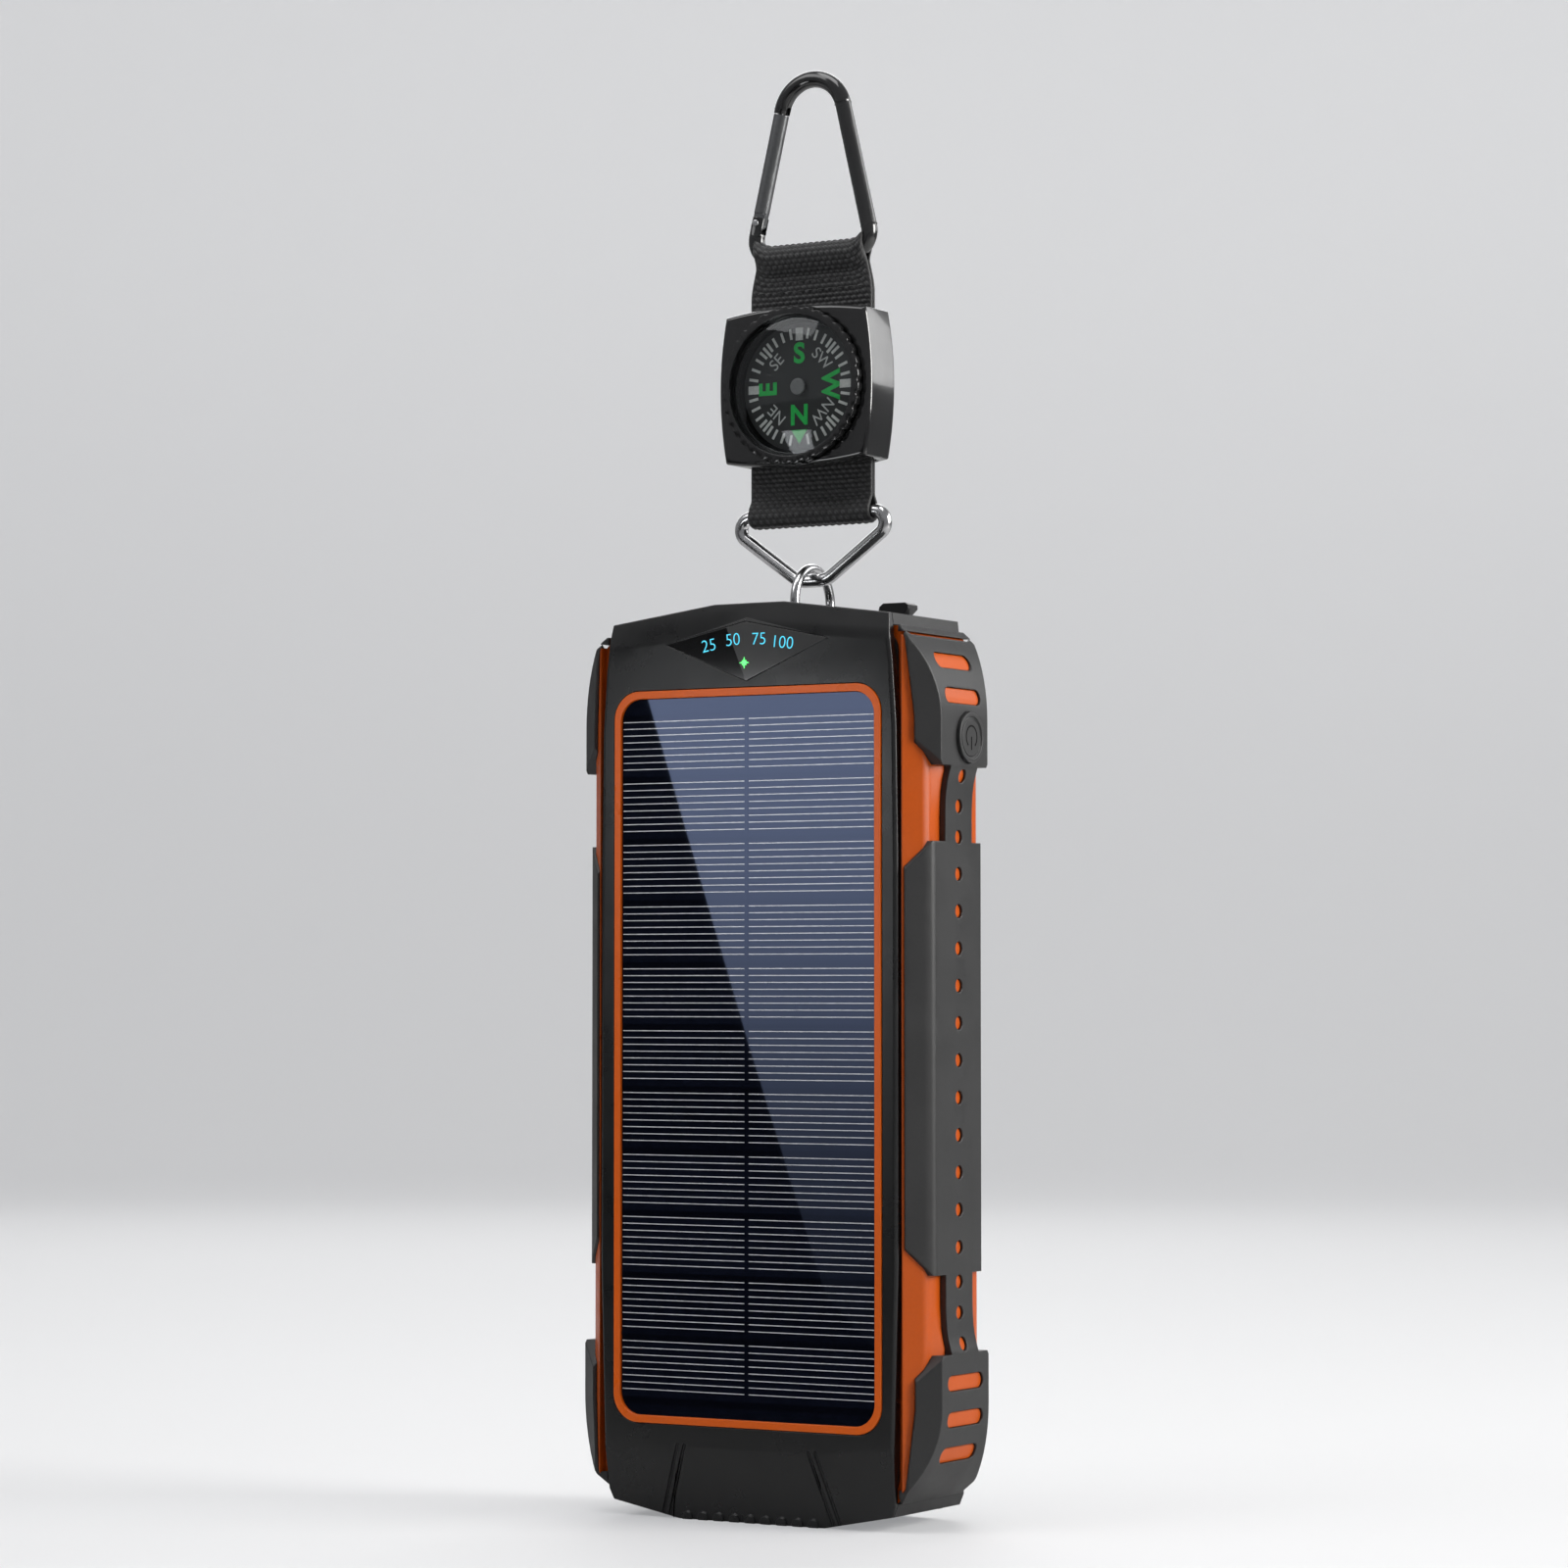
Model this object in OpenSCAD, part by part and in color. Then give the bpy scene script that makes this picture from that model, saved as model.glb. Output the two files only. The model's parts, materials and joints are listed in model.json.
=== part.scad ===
// Pocket solar power bank with a wireless pad, a work light and a compass strap.
// It stands on its lower end. X is the width (right at +X), Y the depth (solar face at -Y, the
// front) and Z the height. The origin is the centre of the lower resting face.

/* [Case] */
// Height of the case from the resting face to the top edge
case_h = 160; // [156:1:176]
// Width of the front and back covers
cover_w = 60.4; // [60:0.2:61]
// Depth of the case between the front face and the back face
case_d = 26; // [26:0.5:30]
// Thickness of the front and back cover plates
cover_t = 2.2; // [2.2:0.1:2.6]
// Chamfer around the cover edges
edge_c = 0.5; // [0.3:0.1:1]

/* [Side guards] */
// Farthest reach of the side guards from the centre plane
guard_x = 36.4; // [36.2:0.1:37]
// Half depth of the corner bumpers' outer face
bumper_half = 8; // [7.5:0.1:8.3]
// Half depth of the long rail's outer face
rail_half = 7.7; // [7.2:0.1:8]
// Half depth of the neck strips
neck_half = 4.7; // [4.4:0.1:5]
// Diameter of the round inlays along the rail
dot_d = 2.3; // [1.6:0.1:3]
// Length of the inlay slots across the depth
slot_l = 12.4; // [10:0.2:12.6]

/* [Solar panel] */
// Outside width of the trim ring
ring_w = 54.4; // [52:0.2:55]
// Outside height of the trim ring
ring_h = 128.6; // [120:0.2:130]
// Visible width of the trim ring
ring_t = 1.35; // [1:0.05:2]

/* [Wireless pad and light] */
// Height of the pad centre above the resting face
pad_z = 93; // [90:1:96]
// Outside diameter of the pad ring
pad_d = 40.6; // [38:0.2:42]
// Diameter of the pad's centre disc
disc_d = 31; // [28:0.5:33]
// Height of the light panel's centre above the resting face
light_z = 40; // [38:0.5:42]
// Half width of the light panel
light_hw = 23.4; // [20:0.2:23.6]

/* [Button] */
// Diameter of the power button
button_d = 8.8; // [8:0.1:9]
// Height of the power button above the resting face
button_z = 136; // [135.8:0.1:136.4]
// Travel of the power button
button_travel = 0.5; // [0.3:0.1:0.5]

/* [Port cover] */
// Half width of the rubber port cover
flap_hw = 24; // [22:0.5:25]
// Height of the port cover's hinge above the resting face
flap_z = 19.3; // [18:0.1:20]

/* [Strap] */
// Width of the webbing
web_w = 25; // [20:0.5:25]
// Thickness of the sewn webbing
web_t = 1.8; // [1.4:0.1:2]
// Width of the compass housing
compass_w = 31.5; // [31.5:0.1:33]
// Height of the compass housing
compass_h = 28.8; // [28.8:0.1:31]
// Wire diameter of the carabiner
clip_wire = 3; // [2.8:0.1:3.2]

/* [Hidden] */
$fn = 48;

half_w = cover_w / 2;
half_d = case_d / 2;
inner_y = half_d - cover_t; // inner face of either cover
seal_t = 0.5;
frame_y = inner_y - seal_t; // front face of the middle frame, under the seal
wall_x = 27.5;              // inner side of the middle frame
frame_z0 = 5;               // lower and upper end of the middle frame
frame_z1 = case_h - 5;
ring_z = (case_h + 1.6) / 2; // centre of the solar panel

// Strap notch in the top end
notch_hw = 13.5;
notch_z = case_h - 8.7; // floor
notch_y = 2;            // front wall
leg_x = 7.25;           // legs of the lanyard loop

// Parts shared by several pieces
case_screw_x = 26.2;
case_screw_z = 30;
board_y = -9.4;          // front face of the main board
board_t = 1.4;
board_screw_y = -7;      // top of the board screws' heads
button_y = 1.5;          // the button sits a little behind the centre plane
usb_a_x = 14.5;
port_y = 0.9;            // back face of the port board, which carries the sockets
port_z = 3.7;            // lower end of the sockets

// Strap, from the case upwards
strap_y = 10;            // plane of the strap
bar_z = case_h - 2.4;    // centre of the lanyard bar
link_r = 6.2;            // split ring, wire centre
link_wire_r = 0.85;
link_z = bar_z - 2.3 + link_r;
dring_z0 = link_z + link_r - 0.9 - 1.3; // lowest wire centre of the D-ring
dring_wire = 2.4;
dbar_z = dring_z0 + 12;  // straight bar of the D-ring
compass_z = dbar_z + 22.4; // centre of the compass
clip_z = compass_z + 24.1; // lower bar of the carabiner
web_gap = 0.08;          // play of the webbing around the wires

black = [0.16, 0.16, 0.165];
rubber = [0.2, 0.2, 0.205];
orange = [0.85, 0.36, 0.08];
board_green = [0.04, 0.28, 0.14];

// ---------- shared shapes ----------

// move to a point and turn +Z towards the front (-Y)
module face_front(at) {
  translate(at) rotate([90, 0, 0]) children();
}

// move to a point and turn +Z towards the right (+X)
module face_right(at) {
  translate(at) rotate([0, 90, 0]) children();
}

// block centred on x = 0 with its front at y and its lower face at z
module mid_block(size, y, z) {
  translate([-size[0] / 2, y, z]) cube(size);
}

// stand a drawing of the X-Z plane up between two depths
module stand(y0, y1) {
  face_front([0, y1, 0]) linear_extrude(y1 - y0) children();
}

// rectangle with true round corners
module rrect(w, h, r) {
  square([w - 2 * r, h], center = true);
  square([w, h - 2 * r], center = true);
  for (x = [-1, 1], y = [-1, 1]) translate([x * (w / 2 - r), y * (h / 2 - r)]) circle(r);
}

// slot rounded at both ends, drawn with its length along X
module stadium(length, w) {
  square([length - w, w], center = true);
  for (side = [-1, 1]) translate([side * (length - w) / 2, 0]) circle(w / 2);
}

// closed outline from its right half
function with_left(pts) = concat(pts, [for (i = [len(pts) - 1:-1:0]) [-pts[i][0], pts[i][1]]]);

// outline of both covers in the X-Z plane, pulled in by inset; points run down the right side
function cover_outline(inset) = with_left([
  [7.1, case_h - inset],
  [half_w - 2 - inset, case_h - 2.8 - inset],
  [half_w - 1 - inset, case_h - 11],
  [half_w - 0.3 - inset, case_h - 22],
  [half_w - inset, case_h - 45],
  [half_w - inset, 45],
  [half_w - 0.6 - inset, 20],
  [half_w - 1.1 - inset, 4.5 + inset],
  [half_w - 1.9 - inset, 2.6 + inset],
  [14.7, inset]]);

// plate of a cover with a chamfered outer edge; side is -1 for the front and 1 for the back
module cover_plate(side) {
  skin = 0.05;
  hull() {
    stand(side > 0 ? inner_y : -half_d + edge_c, side > 0 ? half_d - edge_c : -inner_y)
      polygon(cover_outline(0));
    stand(side > 0 ? half_d - skin : -half_d, side > 0 ? half_d : -half_d + skin)
      polygon(cover_outline(edge_c));
  }
}

// diamond window of the indicator, grown by gap at its corners
module diamond(gap) {
  tip = 16.4 + gap;
  tip_z = case_h - 6.8;
  polygon([[-tip, tip_z], [0, case_h - 3.4 + gap], [tip, tip_z], [0, case_h - 13.7 - gap]]);
}

// hexagonal light window, grown by gap
module light_hex(gap) {
  x = light_hw + gap;
  corner = 8.9 + gap;
  peak = 12.3 + gap;
  translate([0, light_z])
    polygon([[-x, -corner], [0, -peak], [x, -corner], [x, corner], [0, peak], [-x, corner]]);
}

// the two case screws beside the light
module at_case_screws(y) {
  for (side = [-1, 1]) translate([side * case_screw_x, y, case_screw_z]) children();
}

// the four screws of the main board
module at_board_screws(y) {
  for (side = [-1, 1], z = [40, case_h - 27]) translate([side * 19, y, z]) children();
}

module at_torches(z) {
  for (side = [-1, 1]) translate([side * 10.9, strap_y - 1.6, z]) children();
}

// centre of the button, +Z pointing outwards to the right
module at_button(x) {
  face_right([x, button_y, button_z]) children();
}

// centre of the wireless pad, +Z pointing to the front
module at_pad(y) {
  face_front([0, y, pad_z]) children();
}

// ---------- middle frame and side guards ----------

lip_x = half_w + 0.5; // outer side of the frame's lips beside the covers
guard_z0 = 4.9;       // lower end of the guards; the upper end is as far from the case's top
guard_y = 11.9;       // half depth of the bumpers' side view

// the frame's lips stop short of both ends, where the guard wraps round
lip_z0 = 6.7;
lip_z1 = case_h - 5.6;

// the guards' outer line: round bumpers at both ends, a waist, and a straight rail between
arc_r = 22.7;
arc_z0 = 21;          // centres of the bumper arcs
arc_z1 = case_h - 20.7;
bump_z0 = 30.1;       // where the bumpers end and the waist begins
bump_z1 = case_h - 29;
rail_x = guard_x - 1.2;

// waist: distance from the bumper's end, inset from guard_x
waist = [[0, 0], [0.8, 0.25], [1.7, 0.5], [2.9, 0.78], [4.4, 1], [6.4, 1.14], [8.7, 1.2]];

function arc_x(z, centre_z) =
  guard_x - arc_r + sqrt(arc_r * arc_r - (z - centre_z) * (z - centre_z));

// ten even stations of a bumper arc
function arc_points(z0, z1, centre_z, inset) =
  [for (i = [0:9]) let (z = z0 + i * (z1 - z0) / 9) [arc_x(z, centre_z) - inset, z]];

// outer line of the guards in the X-Z plane
function guard_line(inset) =
  let (z0 = guard_z0 + inset / 2, z1 = case_h - guard_z0 - inset / 2)
  concat(
    [[26, z0]],
    arc_points(z0, arc_z0, arc_z0, inset),
    [for (w = waist) [guard_x - w[1] - inset, bump_z0 + w[0]]],
    [for (i = [len(waist) - 1:-1:0]) [guard_x - waist[i][1] - inset, bump_z1 - waist[i][0]]],
    arc_points(arc_z1, z1, arc_z1, inset),
    [[26, z1]]);

// outer line of the frame under the guards, X-Z
function frame_line() = concat(
  [[20, frame_z0]],
  [for (z = [frame_z0, 7, 9, 11, 13.5]) [arc_x(z, arc_z0) - 0.9, z]],
  [[34, 27], [34.9, 29.6], [34.9, 31.2], [34.5, 32.8], [34.2, 34.6], [34, 38.6],
   [34, case_h - 37.5], [34.2, case_h - 33.5], [34.5, case_h - 31.7], [34.9, case_h - 30],
   [34.9, case_h - 28.5], [34, case_h - 26]],
  [for (d = [13, 11, 9, 7]) [arc_x(case_h - d, arc_z1) - 0.9, case_h - d]],
  [[arc_x(frame_z1, arc_z1) - 0.9, frame_z1], [20, frame_z1]]);

// section of the frame's right side in the X-Y plane
module frame_section() {
  polygon([[wall_x, -frame_y], [lip_x, -frame_y], [lip_x, -half_d + 0.8],
    [lip_x + 2.7, -half_d + 3.5], [lip_x + 4.7, -neck_half],
    [lip_x + 4.7, neck_half], [lip_x + 2.7, half_d - 3.5],
    [lip_x, half_d - 0.8], [lip_x, inner_y], [wall_x, inner_y]]);
}

// right side of the frame
module side_block() {
  difference() {
    intersection() {
      translate([0, 0, frame_z0]) linear_extrude(frame_z1 - frame_z0) frame_section();
      stand(-20, 20) polygon(frame_line());
    }
    for (y = [-20, frame_y]) {
      translate([28, y, 0]) cube([12, 20 - frame_y, lip_z0]);
      translate([28, y, lip_z1]) cube([12, 20 - frame_y, 10]);
    }
  }
}

// length of guard between two heights, from a section given as child. Its side view has half
// depth half and corners cut by cut0 at the lower and cut1 at the upper end.
module guard_zone(half, z0, z1, cut0, cut1) {
  x0 = cut0 * 0.75;
  x1 = cut1 * 0.75;
  intersection() {
    translate([0, 0, z0]) linear_extrude(z1 - z0) children();
    translate([20, 0, 0]) rotate([90, 0, 90]) linear_extrude(25)
      polygon([[-half, z0 + cut0], [-half + x0, z0], [half - x0, z0], [half, z0 + cut0],
        [half, z1 - cut1], [half - x1, z1], [-half + x1, z1], [-half, z1 - cut1]]);
  }
}

// section with a front and a back facet, from its front half
module mirrored_section(pts) {
  polygon(concat(pts, [for (i = [len(pts) - 1:-1:0]) [pts[i][0], -pts[i][1]]]));
}

// front halves of the guard sections, X-Y; the first points lie inside the frame
bumper_section = [[31.5, -9.9], [30.9, -11.6], [31.4, -12.3], [36.7, -bumper_half],
  [38, -bumper_half]];
rail_section = [[31.5, -9.9], [30.9, -11.7], [31.35, -12.25], [33.75, -9.85],
  [34.6, -rail_half - 1.2], [rail_x + 0.1, -rail_half], [38, -rail_half]];
cap_section = [[28.7, -frame_y], [29.6, -frame_y], [29.6, -11.3], [30.9, -11.9], [31.4, -12.3],
  [36.7, -bumper_half], [38, -bumper_half]];

module neck_section() {
  translate([32, -neck_half]) square([6, 2 * neck_half]);
}

// clears the strip of frame beside a bumper's front facet; the strip narrows towards the ends
module facet_cut() {
  translate([32.3, -10.6, 0]) rotate([0, 0, 45]) {
    translate([-20, -6, arc_z0]) cube([20, 12, arc_z1 - arc_z0]);
    translate([0, 0, arc_z1]) rotate([0, -7, 0]) translate([-20, -6, 0]) cube([20, 12, 30]);
    translate([0, 0, arc_z0]) rotate([0, 7, 0]) translate([-20, -6, -30]) cube([20, 12, 30]);
  }
}

// heights of the inlays: dots along the rail and both waists, slots in the bumpers
dot_zs = concat([for (i = [0:10]) 48.2 + i * (case_h - 95.8) / 10], [31.7, 37, 42.3],
  [case_h - 41.2, case_h - 35.9, case_h - 30.7]);
slot_zs = [12.9, 19, 25.2, case_h - 16.9, case_h - 10.8];
slot_w = 2.6;

// bars of all inlays that pass through the guard, gap larger all round
module inlay_bars(gap, x0) {
  for (z = slot_zs) translate([x0, 0, z]) rotate([90, 0, 90])
    linear_extrude(20) stadium(slot_l + 2 * gap, slot_w + 2 * gap);
  for (z = dot_zs) face_right([x0, 0, z]) cylinder(h = 20, r = dot_d / 2 + gap);
}

// right guard without the button's opening
module guard() {
  top = case_h - guard_z0;
  sharp = 0.01; // end with practically uncut corners
  difference() {
    intersection() {
      union() {
        difference() {
          union() {
            guard_zone(guard_y, guard_z0, bump_z0, 2, 5.5) mirrored_section(bumper_section);
            guard_zone(guard_y, bump_z1, top, 5.5, 2) mirrored_section(bumper_section);
          }
          facet_cut();
          mirror([0, 1, 0]) facet_cut();
        }
        // caps round the ends of the frame's lips
        guard_zone(guard_y, guard_z0, lip_z0 + 0.6, 2, sharp) mirrored_section(cap_section);
        guard_zone(guard_y, lip_z1 - 0.5, top, sharp, 0.9) mirrored_section(cap_section);
        guard_zone(12.3, 43.7, case_h - 42.1, 5, 5) mirrored_section(rail_section);
        // necks between the bumpers and the rail
        guard_zone(neck_half + 1, bump_z0 - 0.3, 44, sharp, sharp) neck_section();
        guard_zone(neck_half + 1, case_h - 42.4, bump_z1 + 0.3, sharp, sharp) neck_section();
      }
      stand(-20, 20) polygon(guard_line(0));
    }
    side_block();
    inlay_bars(0.08, 30);
  }
}

module mid_frame() {
  beam_h = 2.4;
  color(orange) difference() {
    union() {
      for (i = [0, 1]) mirror([i, 0, 0]) {
        side_block();
        intersection() {
          inlay_bars(0, 31);
          stand(-20, 20) polygon(guard_line(0.45));
        }
      }
      // cross beams at both ends
      for (z = [frame_z0, frame_z1 - beam_h])
        mid_block([2 * wall_x + 1, frame_y + inner_y, beam_h], -frame_y, z);
      // screw bosses
      at_case_screws(inner_y) rotate([90, 0, 0]) cylinder(h = 9, r = 2.6);
    }
    // strap notch pocket
    mid_block([2 * notch_hw + 3.8, 30, 20], notch_y - 1.9, notch_z - 2);
    // openings for the sockets and for the wall of the port cover
    mid_block([46, 10.4, 6], -0.5, frame_z0 - 1);
    mid_block([2 * flap_hw + 3.6, 5, 6], 9.7, frame_z0 - 1);
    at_case_screws(inner_y + 1) rotate([90, 0, 0]) cylinder(h = 8, r = 1);
    // bore of the button stem and pocket of the cap's flange
    at_button(24) cylinder(h = 16, r = 1.57);
    at_button(33) cylinder(h = 10, r = button_d / 2 + 0.9);
    // switch pocket
    translate([27, button_y - 3.1, button_z - 3.1]) cube([3.7, 6.2, 6.2]);
  }
}

module left_guard() {
  color(rubber) mirror([1, 0, 0]) guard();
}

module right_guard() {
  color(rubber) difference() {
    guard();
    // opening for the button cap and room for its flange
    at_button(30) cylinder(h = 10, r = button_d / 2 + 0.08);
    at_button(32) cylinder(h = 3.1, r = button_d / 2 + 0.7);
  }
}

// ---------- covers ----------

lower_facet_z = 12.6; // edge where the front face starts to lean back downwards
lower_lean = 8;

// pair of cutters for the leaning front facets. Each starts at (x, z), turns its edge by turn,
// leans by lean, and reaches inwards by reach; base is the cutter's lower end.
module facet_pair(x, z, turn, lean, reach, base) {
  for (side = [-1, 1])
    translate([side * x, -half_d, z]) rotate([0, side * turn, 0]) rotate([lean, 0, 0])
      translate([side > 0 ? -reach : reach - 50, -20, base]) cube([50, 20, 40]);
}

module front_cover() {
  color(black) difference() {
    union() {
      difference() {
        cover_plate(-1);
        // upper facet, its edge falls away from the window's tips
        facet_pair(x = 16.2, z = case_h - 6.5, turn = 6.4, lean = -11, reach = 19.2, base = 0);
        // lower facet, its edge rises towards both sides
        translate([0, -half_d, lower_facet_z]) rotate([lower_lean, 0, 0])
          mid_block([100, 20, 40], -20, -40);
        facet_pair(x = 14.3, z = lower_facet_z, turn = -8.4, lean = lower_lean, reach = 0.3,
          base = -40);
        // double groove on both sides of the lower facet
        translate([0, -half_d, lower_facet_z]) rotate([lower_lean, 0, 0])
          for (side = [-1, 1], offset_x = [0, 1.4])
            translate([side * (12.6 + offset_x), 0, 0.3]) rotate([0, side * -17.7, 0])
              mid_block([0.5, 0.95, 14.3], -0.6, -14);
      }
      // flat island around the window
      stand(-half_d, -inner_y) diamond(0.55);
      // finger ridges along the lower edge
      for (i = [-4:4]) face_front([i * 3.2, -half_d + 2.15, 0.35]) cylinder(h = 1, r = 1.1);
      // posts for the main board
      at_board_screws(board_y) rotate([90, 0, 0]) cylinder(h = 1.6, r = 1.8);
    }
    // seat of the trim ring and the panel, and two openings behind it
    stand(-half_d - 1, -half_d + 1.6) translate([0, ring_z])
      rrect(ring_w + 0.1, ring_h + 0.1, 5.05);
    for (side = [-1, 1]) stand(-half_d, -half_d + 5)
      translate([0, ring_z + side * (ring_h / 2 - 9)]) rrect(20, 5, 2);
    // seat of the indicator lens and the opening behind it
    stand(-half_d - 1, -half_d + 1.2) diamond(0.05);
    stand(-half_d, -inner_y + 1) translate([0, case_h - 8.2]) rrect(20, 3, 1);
    at_board_screws(board_y + 0.2) rotate([90, 0, 0]) cylinder(h = 1.9, r = 0.75);
    // trims the ridges at the resting face
    mid_block([100, 40, 5], -20, -5);
  }
}

grip_depth = 0.42;

// sunk grip fields of the back cover, as cutters
module upper_grip() {
  difference() {
    stand(half_d - grip_depth, half_d + 1) polygon(with_left([
      [15.6, 105.6], [28.4, 125], [28.3, case_h - 24], [27.5, case_h - 12],
      [26.5, case_h - 4.4], [15.6, case_h - 4.4], [15.6, case_h - 10.9]]));
    at_pad(half_d + 3) cylinder(h = 6, r = 21.9);
  }
}

module lower_grip() {
  difference() {
    stand(half_d - grip_depth, half_d + 1)
      polygon([[-24.2, 50.8], [0, 54.1], [24.2, 50.8], [15.6, 69.2], [-15.6, 69.2]]);
    at_pad(half_d + 3) cylinder(h = 6, r = 26.6);
  }
}

bead_r = 0.8;

// L-shaped port cover with a round bead along its upper edge, gap larger all round
module flap_shape(gap) {
  w = 2 * (flap_hw + gap);
  bead_z = flap_z - bead_r;
  mid_block([w, 10, bead_z + 1], half_d - 2 * bead_r - gap, -1);
  face_right([-w / 2, half_d - bead_r, bead_z]) cylinder(h = w, r = bead_r + gap);
  mid_block([w, 20, 4.5 + gap], -1.5 - gap, -1);
}

module back_cover() {
  flap_gap = 0.12;
  // outer and inner end of the slanting grooves on the right: x, z, x, z
  grooves = [[32, 116, 22.3, 101.2], [32, 55.3, 22.9, 73.4]];
  groove_half = 0.3;
  color(black) difference() {
    union() {
      cover_plate(1);
      // end walls that close the case between the frame and the front cover
      intersection() {
        stand(-inner_y, inner_y + 0.1) polygon(cover_outline(0));
        union() {
          mid_block([100, 40, frame_z0 + 0.9], -20, -1);
          mid_block([100, 40, 10], -20, frame_z1 + 0.1);
        }
      }
      // walls of the strap notch
      mid_block([2 * notch_hw + 3.2, half_d - notch_y + 0.6, case_h - notch_z - 2],
        notch_y - 1.6, notch_z - 1.6);
      // shoulders of the notch
      for (side = [-1, 1]) stand(9.5, half_d) polygon([
        [side * 13.4, case_h - 3], [side * 14, case_h + 0.2], [side * 14.8, case_h + 0.8],
        [side * 19.2, case_h + 0.8], [side * 19.8, case_h + 0.4], [side * 19.8, case_h - 0.3],
        [side * 18.4, case_h - 1.6], [side * 18.4, case_h - 3]]);
      // wall and floor on the inner side of the port cover
      mid_block([2 * flap_hw + 3, 1.3, flap_z], 10, 1.9);
      mid_block([2 * flap_hw + 2, 13.4, frame_z0 - 2.1], -2.9, 2);
    }
    mid_block([2 * notch_hw, 30, 30], notch_y, notch_z);
    // seat of the port cover, its bead groove open to the back
    flap_shape(flap_gap);
    mid_block([2 * (flap_hw + flap_gap), 10, 1.2 + bead_r], half_d - bead_r - 0.25,
      flap_z - bead_r - 1);
    // mouths of the sockets
    for (side = [-1, 1]) translate([side * usb_a_x - 6.75, port_y, 2]) cube([13.5, 6.1, 6]);
    stand(0.7, 4.4) translate([0, 4]) square([9.4, 6], center = true);
    // seats of the pad and the light, with the openings behind them
    at_pad(half_d + 1) cylinder(h = 2, r = pad_d / 2 + 0.05);
    at_pad(half_d + 1) cylinder(h = 4, r = 12);
    stand(half_d - 1.3, half_d + 1) light_hex(0.05);
    stand(inner_y - 1, half_d) light_hex(-1.5);
    // legs of the lanyard loop
    for (side = [-1, 1])
      translate([side * leg_x - 1.05, strap_y - 1.15, notch_z - 3]) cube([2.1, 2.3, 5]);
    // barrels and rims of the torch lights
    at_torches(notch_z - 3) cylinder(h = 5, r = 2.05);
    at_torches(notch_z - 0.5) cylinder(h = 5, r = 2.5);
    // heads and shanks of the case screws
    at_case_screws(half_d + 1) rotate([90, 0, 0]) cylinder(h = 2.4, r = 2.1);
    at_case_screws(half_d + 1) rotate([90, 0, 0]) cylinder(h = 4, r = 1.1);
    // two seam lines above the port cover
    for (z = [20.9, 22.2]) mid_block([80, 1, 0.45], half_d - 0.35, z);
    upper_grip();
    lower_grip();
    for (side = [-1, 1], g = grooves) stand(half_d - 0.35, half_d + 1) polygon([
      [side * g[0], g[1] - groove_half], [side * g[0], g[1] + groove_half],
      [side * g[2], g[3] + groove_half], [side * g[2], g[3] - groove_half]]);
    // four arcs around the pad
    translate([0, half_d - 0.3, pad_z]) rotate([-90, 0, 0]) difference() {
      cylinder(h = 1, r = 24.3);
      translate([0, 0, -1]) cylinder(h = 3, r = 23.8);
      translate([-30, -10, -1]) cube([60, 20, 3]);
      translate([-10, -30, -1]) cube([20, 60, 3]);
    }
  }
}

module solar_trim_ring() {
  color(orange) stand(-half_d - 0.15, -half_d + 1.6) translate([0, ring_z]) difference() {
    rrect(ring_w, ring_h, 5);
    rrect(ring_w - 2 * ring_t, ring_h - 2 * ring_t, 4);
  }
}

module solar_panel() {
  color([0.06, 0.07, 0.12]) stand(-half_d + 0.35, -half_d + 1.6) translate([0, ring_z])
    rrect(ring_w - 2 * ring_t - 0.1, ring_h - 2 * ring_t - 0.1, 3.95);
}

module indicator_lens() {
  color([0.12, 0.12, 0.14]) stand(-half_d, -half_d + 1.2) diamond(0);
}

module indicator_board() {
  color([0.05, 0.25, 0.12]) {
    mid_block([30, 1, 5], -9.6, case_h - 12.5);
    // five indicator lights
    for (i = [-2:2]) translate([i * 4 - 0.8, -10.5, case_h - 9.4]) cube([1.6, 1, 1.2]);
  }
}

// ---------- inside the case ----------

cell_t = 5.7;
cell_ys = [-5.9, 0.2]; // front faces of the two cells

module battery_cells() {
  color([0.72, 0.73, 0.76]) for (y = cell_ys)
    stand(y, y + cell_t) translate([0, 87]) rrect(49, 104, 3);
}

// pads between the cells and behind them
module battery_pads() {
  pad_h = 20;
  color([0.3, 0.3, 0.32]) for (z = [52, 122]) {
    mid_block([36, 0.4, pad_h], cell_ys[0] + cell_t, z - pad_h / 2);
    mid_block([36, 0.9, pad_h], cell_ys[1] + cell_t, z - pad_h / 2);
  }
}

module main_board() {
  color(board_green) difference() {
    mid_block([46, board_t, case_h - 59], board_y, 36);
    at_board_screws(board_screw_y) rotate([90, 0, 0]) cylinder(h = 4, r = 0.9);
  }
}

// chips on the back of the main board: left edge x, lower edge z, size
chips = [[-12, 60, 8], [4, 62, 6], [-8, 84, 9], [10, 92, 7], [-14, 108, 5], [6, 116, 6]];

module board_chips() {
  chip_t = 1.2;
  chip_y = board_y + board_t;
  color([0.08, 0.08, 0.09]) {
    for (c = chips) translate([c[0], chip_y, c[1]]) cube([c[2], chip_t, c[2]]);
    for (x = [-16, 14]) face_front([x, chip_y + chip_t, 50]) cylinder(h = chip_t, r = 2.2);
  }
}

module port_board() {
  thick = 1.3;
  color(board_green) mid_block([45, thick, 19], port_y - thick, 7.6);
}

module usb_a_sockets() {
  color([0.7, 0.71, 0.73])
    for (side = [-1, 1]) translate([side * usb_a_x, port_y, port_z]) {
      difference() {
        mid_block([13.2, 5.8, 14], 0.05, 0);
        mid_block([12.4, 5, 13.5], 0.45, -1);
      }
      // contact tongue, joined to the upper end of the shell
      mid_block([10.4, 1.9, 8.6], 0.45, 4);
    }
}

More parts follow.
